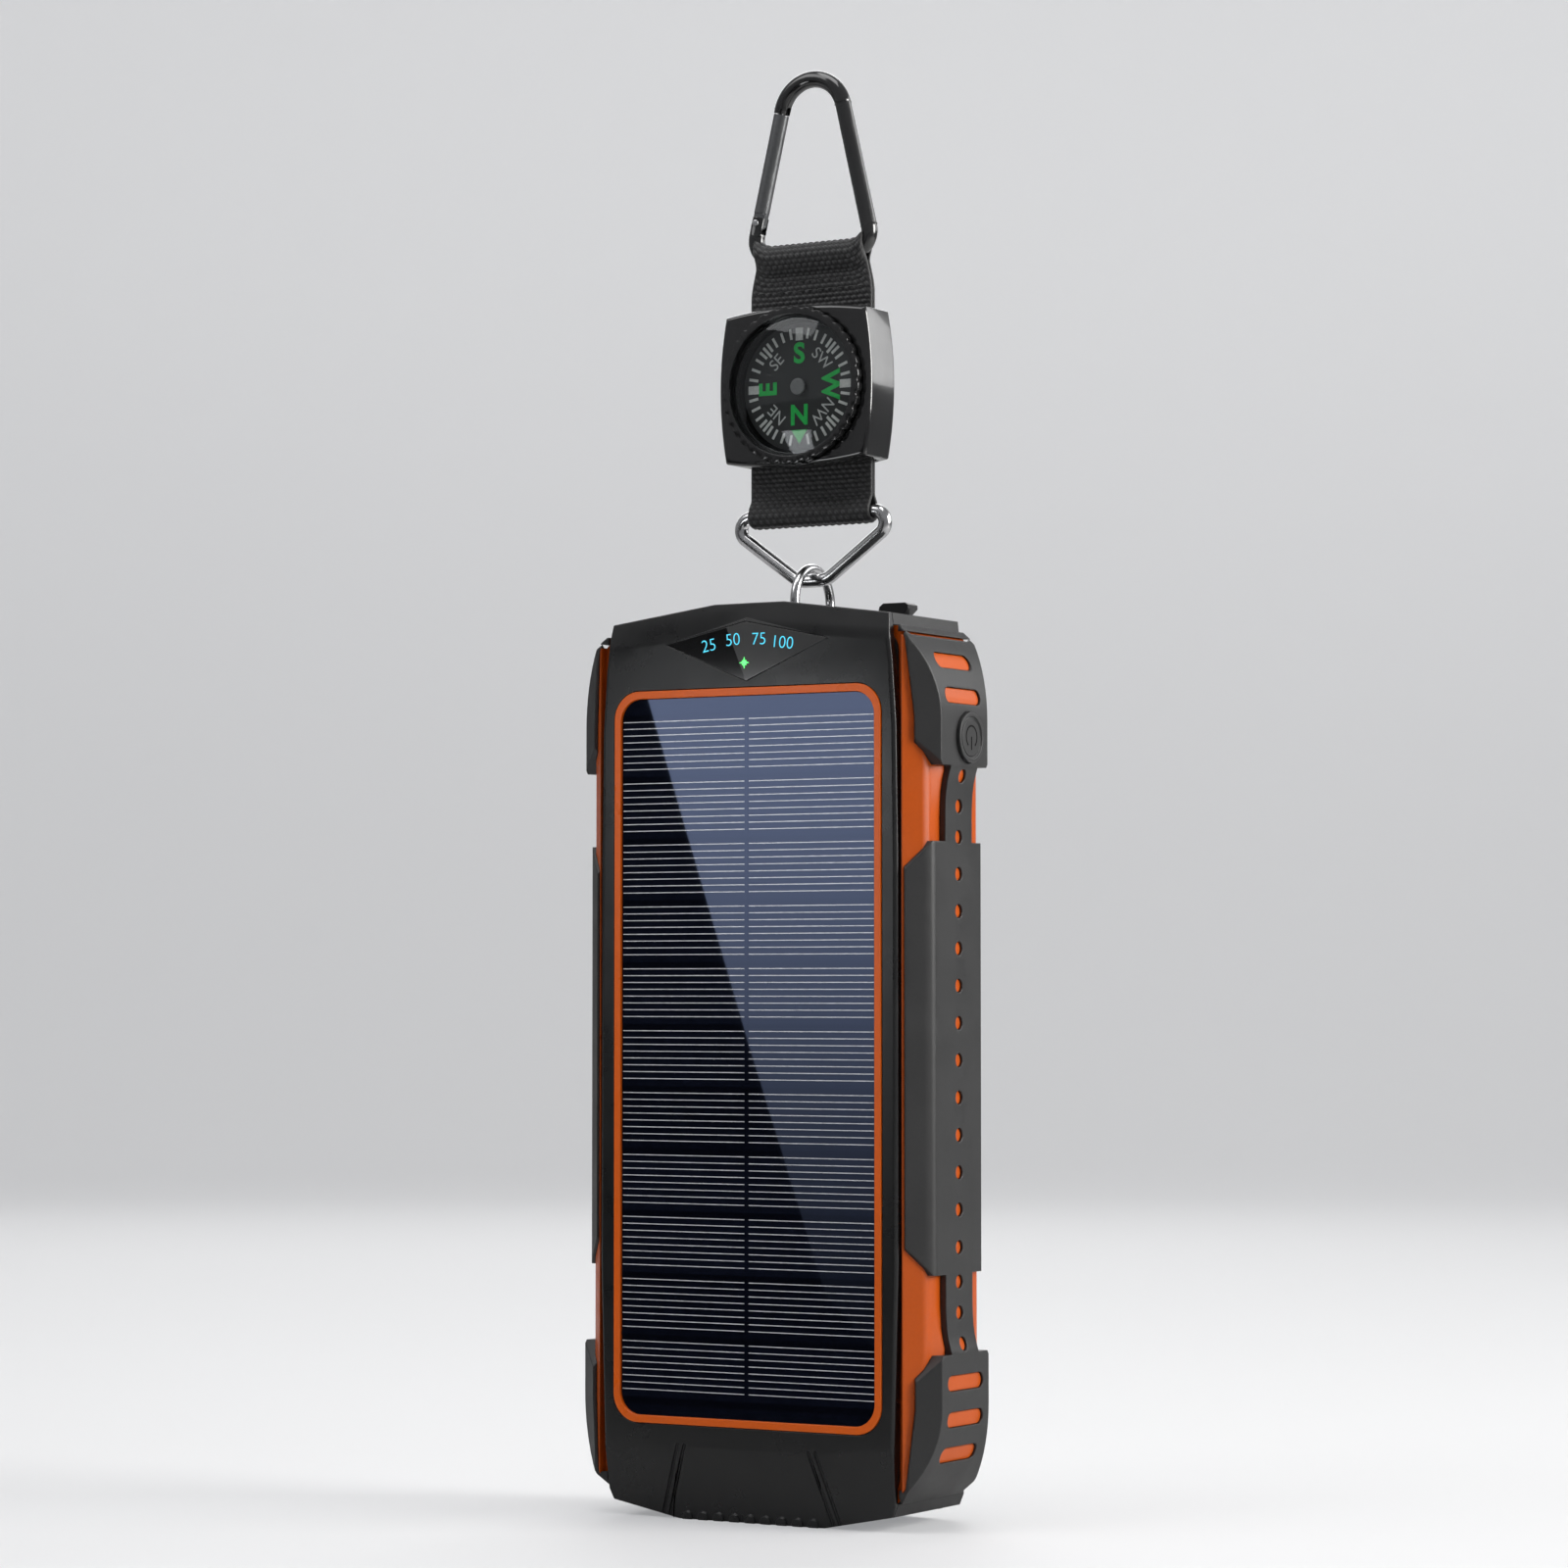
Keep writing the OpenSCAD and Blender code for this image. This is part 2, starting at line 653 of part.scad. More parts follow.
module usb_c_socket() {
  shell_t = 3.3;
  color([0.68, 0.69, 0.71]) translate([0, port_y, port_z]) difference() {
    mid_block([9, shell_t, 7.5], 0, 0);
    translate([0, shell_t / 2, -1]) linear_extrude(7.5) stadium(8.3, 2.5);
  }
}

// the button's stack along X, from the inside outwards
button_board_x = 25.6;
button_board_t = 1.2;
switch_x = button_board_x + button_board_t;
plunger_x = 29.3;
stem_x = 31; // inner end of the button's stem
cap_x = 34;  // inner end of the button's cap

module button_board() {
  color(board_green) translate([button_board_x, button_y - 4, button_z - 8])
    cube([button_board_t, 8, 13]);
}

module power_switch() {
  color([0.75, 0.75, 0.77]) {
    translate([switch_x, button_y - 3, button_z - 3]) cube([2.6, 6, 6]);
    // plunger, just short of the pressed stem
    at_button(plunger_x) cylinder(h = stem_x - button_travel - 0.05 - plunger_x, r = 1.4);
  }
}

module power_button() {
  cap_r = button_d / 2;
  color([0.25, 0.25, 0.26]) at_button(0) {
    // stem and flange
    translate([0, 0, stem_x]) cylinder(h = 3, r = 1.5);
    translate([0, 0, cap_x - 0.1]) cylinder(h = 0.9, r = cap_r + 0.5);
    // cap with a raised rim, a narrow groove and a raised centre
    difference() {
      translate([0, 0, cap_x]) cylinder(h = guard_x + 0.7 - cap_x, r = cap_r);
      translate([0, 0, guard_x + 0.4]) cylinder(h = 1, r = cap_r - 0.75);
    }
    translate([0, 0, cap_x]) cylinder(h = guard_x + 0.55 - cap_x, r = cap_r - 1.1);
  }
}

module light_board() {
  led = 2.8;
  y = 8.9;
  thick = 1.2;
  color([0.9, 0.9, 0.88]) {
    mid_block([42, thick, 13], y, light_z - 6.5);
    for (x = [-17.5:5:17.5], z = [-3.2, 3.2])
      translate([x - led / 2, y + thick, light_z + z - led / 2]) cube([led, 0.7, led]);
  }
}

module light_diffuser() {
  color([0.96, 0.97, 1]) stand(half_d - 1.3, half_d + 0.1) light_hex(0);
}

module wireless_coil() {
  color([0.75, 0.42, 0.2]) at_pad(9.4) difference() {
    cylinder(h = 1.2, r = 20);
    translate([0, 0, -1]) cylinder(h = 4, r = 9);
  }
}

module ferrite_sheet() {
  color([0.12, 0.12, 0.13]) at_pad(8.2) cylinder(h = 0.8, r = 21.5);
}

module pad_ring() {
  color([0.09, 0.09, 0.095]) at_pad(half_d + 0.5) difference() {
    cylinder(h = 1.5, r = pad_d / 2);
    translate([0, 0, -1]) cylinder(h = 4, r = disc_d / 2 + 0.05);
  }
}

module pad_disc() {
  color([0.07, 0.07, 0.075]) at_pad(half_d + 0.15) cylinder(h = 1.15, r = disc_d / 2);
}

module torch_lights() {
  color([0.95, 0.96, 1]) {
    at_torches(notch_z - 3.2) cylinder(h = 3.2, r = 2);
    at_torches(notch_z - 0.5) cylinder(h = 0.8, r = 2.4);
  }
}

module lanyard_loop() {
  bar_l = 2 * leg_x + 2;
  leg_foot = 2.2; // reach of the legs below the notch floor
  color([0.1, 0.1, 0.105]) {
    face_right([-bar_l / 2, strap_y, bar_z]) cylinder(h = bar_l, r = 1.1);
    for (side = [-1, 1]) {
      translate([side * leg_x - 1, strap_y - 1.1, notch_z - leg_foot])
        cube([2, 2.2, bar_z - notch_z + leg_foot]);
      translate([side * leg_x - 1.6, strap_y - 1.8, notch_z - 2.6]) cube([3.2, 2.5, 0.9]);
    }
  }
}

module case_seal() {
  color([0.1, 0.1, 0.11]) stand(-inner_y, -frame_y) translate([0, case_h / 2]) difference() {
    rrect(58.6, case_h - 11, 4);
    rrect(56, case_h - 14.4, 3);
  }
}

// screw with a cross recess; its head's top faces +Y at y = 0 and the shank points to -Y
module screw(head_r, head_h, shank_r, length) {
  rotate([-90, 0, 0]) {
    difference() {
      translate([0, 0, -head_h]) cylinder(h = head_h, r = head_r);
      for (a = [0, 90]) rotate([0, 0, a])
        translate([-head_r * 0.65, -0.2, -0.5]) cube([head_r * 1.3, 0.4, 1]);
    }
    translate([0, 0, -length]) cylinder(h = length - head_h, r = shank_r);
  }
}

module case_screws() {
  color([0.3, 0.3, 0.31]) at_case_screws(half_d - 0.2)
    screw(head_r = 1.9, head_h = 1.15, shank_r = 0.95, length = 8);
}

module board_screws() {
  color([0.5, 0.5, 0.52]) at_board_screws(board_screw_y)
    screw(head_r = 1.5, head_h = 1, shank_r = 0.7, length = 3.6);
}

module port_cover() {
  color([0.14, 0.14, 0.145]) difference() {
    intersection() {
      flap_shape(0);
      stand(-20, half_d) polygon(cover_outline(0));
    }
    // finger notch near the lower edge and a shallow groove near the upper edge
    translate([14, half_d - 0.6, 5.5]) rotate([-90, 0, 0]) cylinder(h = 2, r = 2.6);
    mid_block([2 * flap_hw - 3.2, 1, 0.5], half_d - 0.3, 16.2);
  }
}

// ---------- wire loops ----------

// A loop is described by circles that the wire passes around, counter-clockwise in the X-Z
// plane. Points and directions are [x, z].
function dir_of(a, b) = (b - a) / norm(b - a);
function angle_of(v) = atan2(v[1], v[0]);

// outward normal of the straight run from circle a to circle b
function tangent_normal(a, b, radius_a, radius_b) =
  let (d = dir_of(a, b), k = (radius_a - radius_b) / norm(b - a), q = sqrt(1 - k * k))
  [k * d[0] + q * d[1], k * d[1] - q * d[0]];

// bend around a centre, from one outward normal to another
module wire_arc(centre, r, normal_in, normal_out, wire) {
  start = angle_of(normal_in);
  sweep = ((angle_of(normal_out) - start) + 720) % 360;
  face_front([centre[0], 0, centre[1]]) rotate([0, 0, start])
    rotate_extrude(angle = sweep) translate([r, 0]) circle(wire / 2, $fn = 24);
}

// straight run of wire that reaches a little way into the bends at both ends
module wire_line(from, to, wire) {
  run = to - from;
  extra = 0.15;
  translate([from[0], 0, from[1]]) rotate([0, 90 - angle_of(run), 0]) translate([0, 0, -extra])
    cylinder(h = norm(run) + 2 * extra, r = wire / 2 - 0.015, $fn = 24);
}

// an open loop leaves out the run from the last circle to the first
module wire_loop(centres, radii, wire, open = false) {
  n = len(centres);
  for (i = [0:n - 1]) {
    h = (i + n - 1) % n;
    j = (i + 1) % n;
    normal_in = tangent_normal(centres[h], centres[i], radii[h], radii[i]);
    normal_out = tangent_normal(centres[i], centres[j], radii[i], radii[j]);
    wire_arc(centres[i], radii[i], normal_in, normal_out, wire);
    if (!open || i < n - 1)
      wire_line(centres[i] + radii[i] * normal_out, centres[j] + radii[j] * normal_out, wire);
  }
}

// ---------- strap ----------

module split_ring() {
  color([0.62, 0.63, 0.65]) face_right([0, strap_y, link_z])
    rotate_extrude() translate([link_r, 0]) circle(link_wire_r, $fn = 24);
}

module d_ring() {
  bow_r = 5;
  corner_r = 2.2;
  bow_z = dring_z0 + bow_r;
  corner_z = dbar_z - corner_r;
  color([0.5, 0.51, 0.53]) translate([0, strap_y, 0])
    wire_loop([[-1.2, bow_z], [1.2, bow_z], [12.75, corner_z], [-12.75, corner_z]],
      [bow_r, bow_r, corner_r, corner_r], dring_wire);
}

module strap_webbing() {
  fold_w = 16; // width of the fold around the carabiner
  color([0.12, 0.12, 0.125]) translate([0, strap_y, 0]) difference() {
    union() {
      mid_block([web_w, web_t, clip_z - dbar_z], -web_t / 2, dbar_z);
      face_right([-web_w / 2, 0, dbar_z]) cylinder(h = web_w, r = 2.3);
      face_right([-fold_w / 2, 0, clip_z]) cylinder(h = fold_w, r = clip_wire / 2 + 1.4);
    }
    face_right([-50, 0, dbar_z]) cylinder(h = 100, r = dring_wire / 2 + web_gap);
    face_right([-50, 0, clip_z]) cylinder(h = 100, r = clip_wire / 2 + web_gap);
    // room for the rounded corners of the carabiner
    for (side = [-1, 1])
      translate([side * 8.1 - (side < 0 ? 10 : 0), -5, clip_z - 2.2]) cube([10, 10, 20]);
  }
}

compass_y = 3.5;  // front of the compass housing
capsule_y = 7.9;  // back of the capsule
capsule_floor = 0.8;
side_bow = 70;    // radii of the housing's bowed edges
end_bow = 90;

// centre of the compass, +Z pointing to the front
module at_compass(y) {
  face_front([0, y, compass_z]) children();
}

module compass_housing() {
  color([0.08, 0.08, 0.085]) difference() {
    stand(compass_y, strap_y + 2.4) translate([0, compass_z]) intersection() {
      rrect(compass_w, compass_h, 3.6);
      translate([compass_w / 2 - side_bow, 0]) circle(side_bow, $fn = 96);
      translate([side_bow - compass_w / 2, 0]) circle(side_bow, $fn = 96);
      translate([0, compass_h / 2 - end_bow]) circle(end_bow, $fn = 96);
      translate([0, end_bow - compass_h / 2]) circle(end_bow, $fn = 96);
    }
    // webbing slot
    mid_block([web_w + 0.6, web_t + 0.3, 60], strap_y - web_t / 2 - 0.15, compass_z - 30);
    // seats of the capsule and the bezel
    at_compass(capsule_y + 0.1) cylinder(h = 10, r = 12.65);
    at_compass(compass_y + 0.9) cylinder(h = 10, r = 13.66);
  }
}

module compass_capsule() {
  color([0.05, 0.05, 0.055]) at_compass(capsule_y) difference() {
    cylinder(h = 4.6, r = 12.6);
    translate([0, 0, capsule_floor]) cylinder(h = 10, r = 12);
    translate([0, 0, -1]) cylinder(h = 3, r = 0.5);
  }
}

// pin with a collar behind the card and a head in front of it
module compass_pivot() {
  color([0.6, 0.6, 0.6]) at_compass(capsule_y) {
    cylinder(h = 3, r = 0.5);
    translate([0, 0, capsule_floor]) cylinder(h = 0.9, r = 1.2);
    translate([0, 0, 2.9]) cylinder(h = 0.5, r = 1.5);
  }
}

module compass_card() {
  color([0.04, 0.04, 0.045]) at_compass(capsule_y - 1.8) difference() {
    cylinder(h = 0.8, r = 11.5);
    translate([0, 0, -1]) cylinder(h = 4, r = 0.56);
  }
}

// shallow dome, thickest in the middle
module compass_lens() {
  lens_r = 12.5;
  edge_t = 0.4;
  rise = 1.7;
  dome = [for (i = [11:-1:0]) let (r = lens_r * i / 12)
    [r, edge_t + rise * (1 - pow(r / lens_r, 2))]];
  color([0.85, 0.9, 0.92]) at_compass(3.3) rotate_extrude()
    polygon(concat([[0, 0], [lens_r, 0], [lens_r, edge_t]], dome));
}

module compass_bezel() {
  color([0.06, 0.06, 0.065]) at_compass(compass_y + 0.8) {
    // collar in the housing
    linear_extrude(1) difference() {
      circle(13.6);
      circle(12.72);
    }
    // knurled rim
    translate([0, 0, 0.9]) linear_extrude(1.5) difference() {
      circle(14.1);
      circle(12.66);
      for (i = [0:35]) rotate([0, 0, i * 10]) translate([14.55, 0]) circle(0.75, $fn = 16);
    }
  }
}

// ---------- carabiner ----------

// circles of the wire loop: lower left, lower right, top; [x, z] from the lower bar's centre
clip_r = [3.75, 3.75, 6.5];
clip_c = [[-8, clip_r[0]], [8, clip_r[1]], [0, 25.5]];

// the gate closes the left arm
gate_normal = tangent_normal(clip_c[2], clip_c[0], clip_r[2], clip_r[0]);
arm_top = clip_c[2] + clip_r[2] * gate_normal;
arm_low = clip_c[0] + clip_r[0] * gate_normal;
arm_dir = dir_of(arm_low, arm_top);
arm_tilt = 90 - angle_of(arm_dir);
pivot_at = arm_low + arm_dir * 2.2;
nose_at = arm_top - arm_dir * 0.6;
pin_r = 0.6;

// a point of the left arm, +Z running up along the arm
module on_arm(at) {
  translate([at[0], 0, at[1]]) rotate([0, arm_tilt, 0]) children();
}

module carabiner_body() {
  color([0.07, 0.07, 0.075]) translate([0, strap_y, clip_z]) difference() {
    union() {
      wire_loop(clip_c, clip_r, clip_wire, open = true);
      // nose
      wire_line(arm_top, nose_at, clip_wire);
      // forked ears that hold the gate pin
      wire_line(arm_low, arm_low + arm_dir * 3.2, clip_wire);
    }
    // slot between the ears
    on_arm(arm_low) mid_block([6, 1.6, 6], -0.8, 0.4);
    face_front([pivot_at[0], 3, pivot_at[1]]) cylinder(h = 6, r = pin_r);
    // latch slot in the nose
    on_arm(nose_at) mid_block([6, 1.2, 3.2], -0.6, -2);
  }
}

module carabiner_gate() {
  gate_l = norm(nose_at - pivot_at);
  bar_start = 1.9;
  tongue_t = 1.4;
  color([0.5, 0.51, 0.52]) translate([0, strap_y, clip_z]) on_arm(pivot_at) difference() {
    union() {
      translate([0, 0, bar_start]) cylinder(h = gate_l - bar_start - 0.25, r = 1.4, $fn = 32);
      // tongue on the pin
      mid_block([2.4, tongue_t, 2.3], -tongue_t / 2, 0);
      face_front([0, tongue_t / 2, 0]) cylinder(h = tongue_t, r = 1.2);
      // latch tongue in the nose's slot
      mid_block([0.9, 1, 1.3], -0.5, gate_l - 0.6);
    }
    face_front([0, 3, 0]) cylinder(h = 6, r = pin_r + 0.05);
  }
}

module gate_pin() {
  pin_l = 3.5;
  color([0.7, 0.7, 0.72])
    face_front([pivot_at[0], strap_y + pin_l / 2, clip_z + pivot_at[1]])
      cylinder(h = pin_l, r = pin_r);
}

front_cover();
mid_frame();
back_cover();
left_guard();
right_guard();
solar_trim_ring();
solar_panel();
indicator_lens();
indicator_board();
battery_cells();
battery_pads();
main_board();
board_chips();
port_board();
usb_a_sockets();
usb_c_socket();
button_board();
power_switch();
power_button();
light_board();
light_diffuser();
wireless_coil();
ferrite_sheet();
pad_ring();
pad_disc();
torch_lights();
lanyard_loop();
case_seal();
case_screws();
board_screws();
port_cover();
split_ring();
d_ring();
strap_webbing();
compass_housing();
compass_capsule();
compass_pivot();
compass_card();
compass_lens();
compass_bezel();
carabiner_body();
carabiner_gate();
gate_pin();
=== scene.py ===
# A rugged solar power bank with a carabiner strap and a compass. It stands upright with +Z up.
# The solar panel faces -Y (front), the grip ribs face +Y (back) and the power button is on +X.
# The CAD pieces get their materials and rounded edges here. Modelled on top of them are the
# panel's silver lines, the figures and symbols, the grip ribs, the dial and the webbing.
import bpy
import bmesh
import json
import math
from mathutils import Vector, Matrix


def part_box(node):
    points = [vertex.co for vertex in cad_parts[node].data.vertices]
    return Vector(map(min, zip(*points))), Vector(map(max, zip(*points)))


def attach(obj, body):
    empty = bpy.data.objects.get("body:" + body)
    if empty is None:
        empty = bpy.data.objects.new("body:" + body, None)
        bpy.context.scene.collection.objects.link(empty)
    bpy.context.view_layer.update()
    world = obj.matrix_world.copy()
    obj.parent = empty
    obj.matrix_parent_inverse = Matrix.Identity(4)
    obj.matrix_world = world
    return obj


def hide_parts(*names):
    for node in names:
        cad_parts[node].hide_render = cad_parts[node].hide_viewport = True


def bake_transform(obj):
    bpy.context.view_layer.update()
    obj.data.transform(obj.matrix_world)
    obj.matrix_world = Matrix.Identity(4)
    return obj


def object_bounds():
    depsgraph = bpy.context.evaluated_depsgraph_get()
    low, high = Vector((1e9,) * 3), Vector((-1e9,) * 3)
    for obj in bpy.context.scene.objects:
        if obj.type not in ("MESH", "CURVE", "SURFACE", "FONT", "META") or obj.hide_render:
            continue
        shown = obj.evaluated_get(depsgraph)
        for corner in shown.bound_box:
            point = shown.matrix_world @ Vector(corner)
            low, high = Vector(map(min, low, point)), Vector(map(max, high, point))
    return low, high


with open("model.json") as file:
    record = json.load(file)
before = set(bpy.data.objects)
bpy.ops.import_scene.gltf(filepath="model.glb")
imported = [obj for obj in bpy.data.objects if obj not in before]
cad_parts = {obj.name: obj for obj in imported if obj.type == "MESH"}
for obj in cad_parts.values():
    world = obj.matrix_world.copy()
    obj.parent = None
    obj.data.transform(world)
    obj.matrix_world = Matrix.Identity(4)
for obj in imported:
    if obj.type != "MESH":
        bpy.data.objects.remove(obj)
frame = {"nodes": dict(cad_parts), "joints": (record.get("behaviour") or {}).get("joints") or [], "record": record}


def as_lists(box):
    return [[float(c) for c in corner] for corner in box]


cad_bounds = as_lists(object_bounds())

# Sizes are in mm and turned into metres with MM, unless a comment says metres.
MM = 0.001
FRONT = -13.0
BACK = 13.0
CELL_PITCH = 10.9      # height of one strip of solar cells with its gap
CELL_MARGIN = 3.1      # from the bottom of the panel to the first strip


def centre(node):
    """Middle of a CAD piece, in mm."""
    low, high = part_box(node)
    return (low + high) / 2 / MM


def smoothstep(share):
    return share * share * (3 - 2 * share)


def clamp(value):
    return max(0.0, min(1.0, value))


# ------------------------------------------------------------------ shader graphs

class Graph:
    """Short ways to add and link the shader nodes of a material or world."""

    def __init__(self, owner, output="OutputMaterial"):
        owner.use_nodes = True
        self.owner = owner
        self.tree = owner.node_tree
        self.tree.nodes.clear()
        self.output = self.node(output)

    def node(self, kind, sockets=None, **settings):
        """Adds a node. sockets maps each input to a value, or to an output to link."""
        made = self.tree.nodes.new("ShaderNode" + kind)
        for setting, value in settings.items():
            setattr(made, setting, value)
        for key, source in (sockets or {}).items():
            socket = made.inputs[key]
            if isinstance(source, bpy.types.NodeSocket):
                self.tree.links.new(source, socket)
            elif socket.type == "RGBA":
                socket.default_value = (*source, 1.0)
            else:
                socket.default_value = source
        return made

    def end(self, shader):
        """Links the last shader to the output and gives back the material."""
        self.tree.links.new(shader.outputs[0], self.output.inputs[0])
        return self.owner

    def principled(self, sockets):
        return self.end(self.node("BsdfPrincipled", sockets))

    def coords(self):
        return self.node("TexCoord").outputs["Object"]

    def xyz(self, vector):
        return self.node("SeparateXYZ", {0: vector}).outputs

    def calc(self, operation, *operands, clamped=False):
        sockets = dict(enumerate(operands))
        return self.node("Math", sockets, operation=operation, use_clamp=clamped).outputs[0]

    def wave(self, value, pitch, operation="SINE"):
        """Swings between -1 and 1 once per pitch, which is in metres."""
        return self.calc(operation, self.calc("MULTIPLY", value, 2 * math.pi / pitch))

    def grey(self, value):
        return self.node("CombineColor", {0: value, 1: value, 2: value}).outputs[0]

    def mix(self, factor, first, second, mode="MIX"):
        """Blends two colours."""
        made = self.node("Mix", data_type="RGBA", blend_type=mode, clamp_factor=True,
                         sockets={0: factor, 6: first, 7: second})
        return made.outputs[2]

    def remap(self, value, source=(0.3, 0.7), to=(0.0, 1.0), smooth=False):
        """Maps one range to another. The default source is where most noise falls."""
        made = self.node("MapRange", {0: value, 1: source[0], 2: source[1], 3: to[0], 4: to[1]})
        if smooth:
            made.interpolation_type = "SMOOTHSTEP"
        return made.outputs[0]

    def noise(self, coords, scale, detail=3.0, rough=0.55):
        made = self.node("TexNoise", {"Scale": scale, "Detail": detail, "Roughness": rough,
                                      "Vector": coords})
        return made.outputs["Fac"]

    def bump(self, height, strength, microns, normal=None):
        sockets = {"Strength": strength, "Distance": microns / 1e6, "Height": height}
        if normal is not None:
            sockets["Normal"] = normal
        return self.node("Bump", sockets).outputs[0]


def new_graph(name):
    return Graph(bpy.data.materials.new(name))


def scaled(colour, factor):
    return tuple(min(1.0, c * factor) for c in colour)


# ------------------------------------------------------------------ materials

def edge_wear(graph, coords, amount):
    """Mask of rubbed edges: where rounded and true normals part, broken up by noise."""
    rounded = graph.node("Bevel", {"Radius": 0.0004}, samples=3).outputs[0]
    flat = graph.node("NewGeometry").outputs["Normal"]
    dot = graph.node("VectorMath", {0: rounded, 1: flat}, operation="DOT_PRODUCT")
    wear = graph.remap(dot.outputs["Value"], source=(0.99, 0.9), to=(0.0, amount))
    rub = graph.remap(graph.noise(coords, scale=260.0), source=(0.42, 0.62), to=(0.35, 1.0))
    return graph.calc("MULTIPLY", wear, rub, clamped=True)


def surface(name, colour, rough, metallic=0.0, grain=5200.0, grain_depth=12, grain_strength=0.35,
            drift=0.12, coat=0.0, coat_rough=0.05, sheen=0.0, specular=0.5, scratches=0.0,
            edge=0.25, soft=0.0):
    """Moulded or finished surface: colour drift, fine relief, uneven gloss and worn edges.
    grain is the scale of the relief and grain_depth its height in microns; drift is the swing
    in tone; edge is how strongly edges are worn; soft is a shaded edge radius in mm."""
    graph = new_graph(name)
    coords = graph.coords()
    slow = graph.remap(graph.noise(coords, scale=38.0, detail=4.0), to=(1.0 - drift, 1.0 + drift))
    speck = graph.remap(graph.noise(coords, scale=1700.0, detail=2.0),
                        to=(1.0 - drift * 0.5, 1.0 + drift * 0.5))
    tone = graph.grey(graph.calc("MULTIPLY", slow, speck))
    tinted = graph.mix(1.0, colour, tone, "MULTIPLY")
    if edge > 0:
        worn = scaled([c + 0.03 for c in colour], 1.7)
        tinted = graph.mix(edge_wear(graph, coords, edge), tinted, worn)
    gloss = graph.remap(graph.noise(coords, scale=120.0, detail=4.0), source=(0.25, 0.75),
                        to=(max(0.02, rough - 0.07), min(1.0, rough + 0.07)))
    relief = graph.noise(coords, scale=grain, detail=2.0)
    rounded = None
    if soft > 0:
        rounded = graph.node("Bevel", {"Radius": soft * MM}, samples=6).outputs[0]
    normal = graph.bump(relief, grain_strength, grain_depth, rounded)
    if scratches > 0:
        # noise drawn out along Z
        drawn = graph.node("Mapping", {"Scale": (900, 900, 40), "Vector": coords}).outputs[0]
        lines = graph.noise(drawn, scale=6.0, detail=5.0, rough=0.7)
        normal = graph.bump(lines, strength=scratches, microns=10, normal=normal)
    return graph.principled({
        "Base Color": tinted, "Roughness": gloss, "Normal": normal, "Metallic": metallic,
        "Specular IOR Level": specular, "IOR": 1.5, "Coat Weight": coat,
        "Coat Roughness": coat_rough, "Sheen Weight": sheen, "Sheen Roughness": 0.5})


def board_material():
    """Circuit board green with a brick pattern of paler traces."""
    graph = new_graph("board_green")
    upright = graph.node("Mapping", {"Rotation": (math.radians(90), 0, 0),
                                     "Vector": graph.coords()}).outputs[0]
    traces = graph.node("TexBrick", {
        "Scale": 160.0, "Mortar Size": 0.035, "Color1": (0.012, 0.11, 0.035),
        "Color2": (0.01, 0.085, 0.03), "Mortar": (0.03, 0.2, 0.08), "Vector": upright})
    return graph.principled({
        "Base Color": traces.outputs["Color"], "Roughness": 0.35,
        "Normal": graph.bump(traces.outputs["Fac"], strength=0.3, microns=20)})


def coil_material():
    """Copper turns as rings round the middle of the coil, with painted shade: dark between the turns, bright on
    their tops.
    """
    turn_pitch = 0.0008    # metres
    graph = new_graph("copper_coil")
    offset = graph.node("VectorMath", operation="SUBTRACT",
                        sockets={0: graph.coords(), 1: centre("wireless_coil") * MM})
    radius = graph.node("VectorMath", {0: offset.outputs[0]}, operation="LENGTH")
    turns = graph.wave(radius.outputs["Value"], turn_pitch)
    share = graph.remap(turns, source=(-1, 1))
    return graph.principled({
        # painted shade: dark in the grooves between turns, bright along their tops, following the bump
        "Base Color": graph.mix(share, (0.25, 0.09, 0.03), (0.85, 0.42, 0.2)),
        "Normal": graph.bump(turns, strength=0.6, microns=200),
        "Metallic": 0.9, "Roughness": 0.3})


def solar_material():
    """Dark laminate: mottled navy cells and darker gaps between strips, under a clear film."""
    graph = new_graph("solar_laminate")
    coords = graph.coords()
    z = graph.xyz(coords)["Z"]
    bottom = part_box("solar_panel")[0].z + CELL_MARGIN * MM

    def strips():
        return graph.calc("DIVIDE", graph.calc("SUBTRACT", z, bottom), CELL_PITCH * MM)

    gap = graph.remap(graph.calc("FRACT", strips()), source=(0.86, 0.9))
    row = graph.calc("FLOOR", strips())
    row_random = graph.node("TexWhiteNoise", {"W": row}, noise_dimensions="1D").outputs["Value"]
    mottle = graph.noise(coords, scale=420.0, detail=4.0)
    tone = graph.calc("ADD", graph.remap(mottle, to=(0.75, 1.2)),
                      graph.remap(row_random, source=(0, 1), to=(-0.2, 0.25)))
    cell = graph.mix(1.0, (0.0045, 0.0058, 0.012), graph.grey(tone), "MULTIPLY")
    film = graph.bump(graph.noise(coords, scale=90.0, detail=2.0), strength=0.05, microns=30)
    laminate = graph.node("BsdfPrincipled", {
        "Base Color": graph.mix(gap, cell, (0.0025, 0.003, 0.006)),
        "Normal": graph.bump(mottle, strength=0.25, microns=10),
        "Roughness": 0.6, "Specular IOR Level": 0.0})
    # the film is a blue-tinted mirror that grows towards grazing angles
    mirror = graph.node("BsdfGlossy", {"Color": (0.5, 0.62, 1.0), "Roughness": 0.02,
                                       "Normal": film})
    fresnel = graph.node("Fresnel", {"IOR": 1.5})
    return graph.end(graph.node("MixShader", {
        0: fresnel.outputs[0], 1: laminate.outputs[0], 2: mirror.outputs[0]}))


def finger_material():
    """Silver print of the thin lines across the cells."""
    graph = new_graph("silver_print")
    mottle = graph.noise(graph.coords(), scale=900.0)
    return graph.principled({
        "Base Color": graph.mix(graph.remap(mottle), (0.62, 0.63, 0.66), (0.85, 0.86, 0.9)),
        "Metallic": 0.0, "Roughness": 0.35, "Coat Weight": 1.0, "Coat Roughness": 0.04,
        "Normal": graph.bump(mottle, strength=0.2, microns=10)})


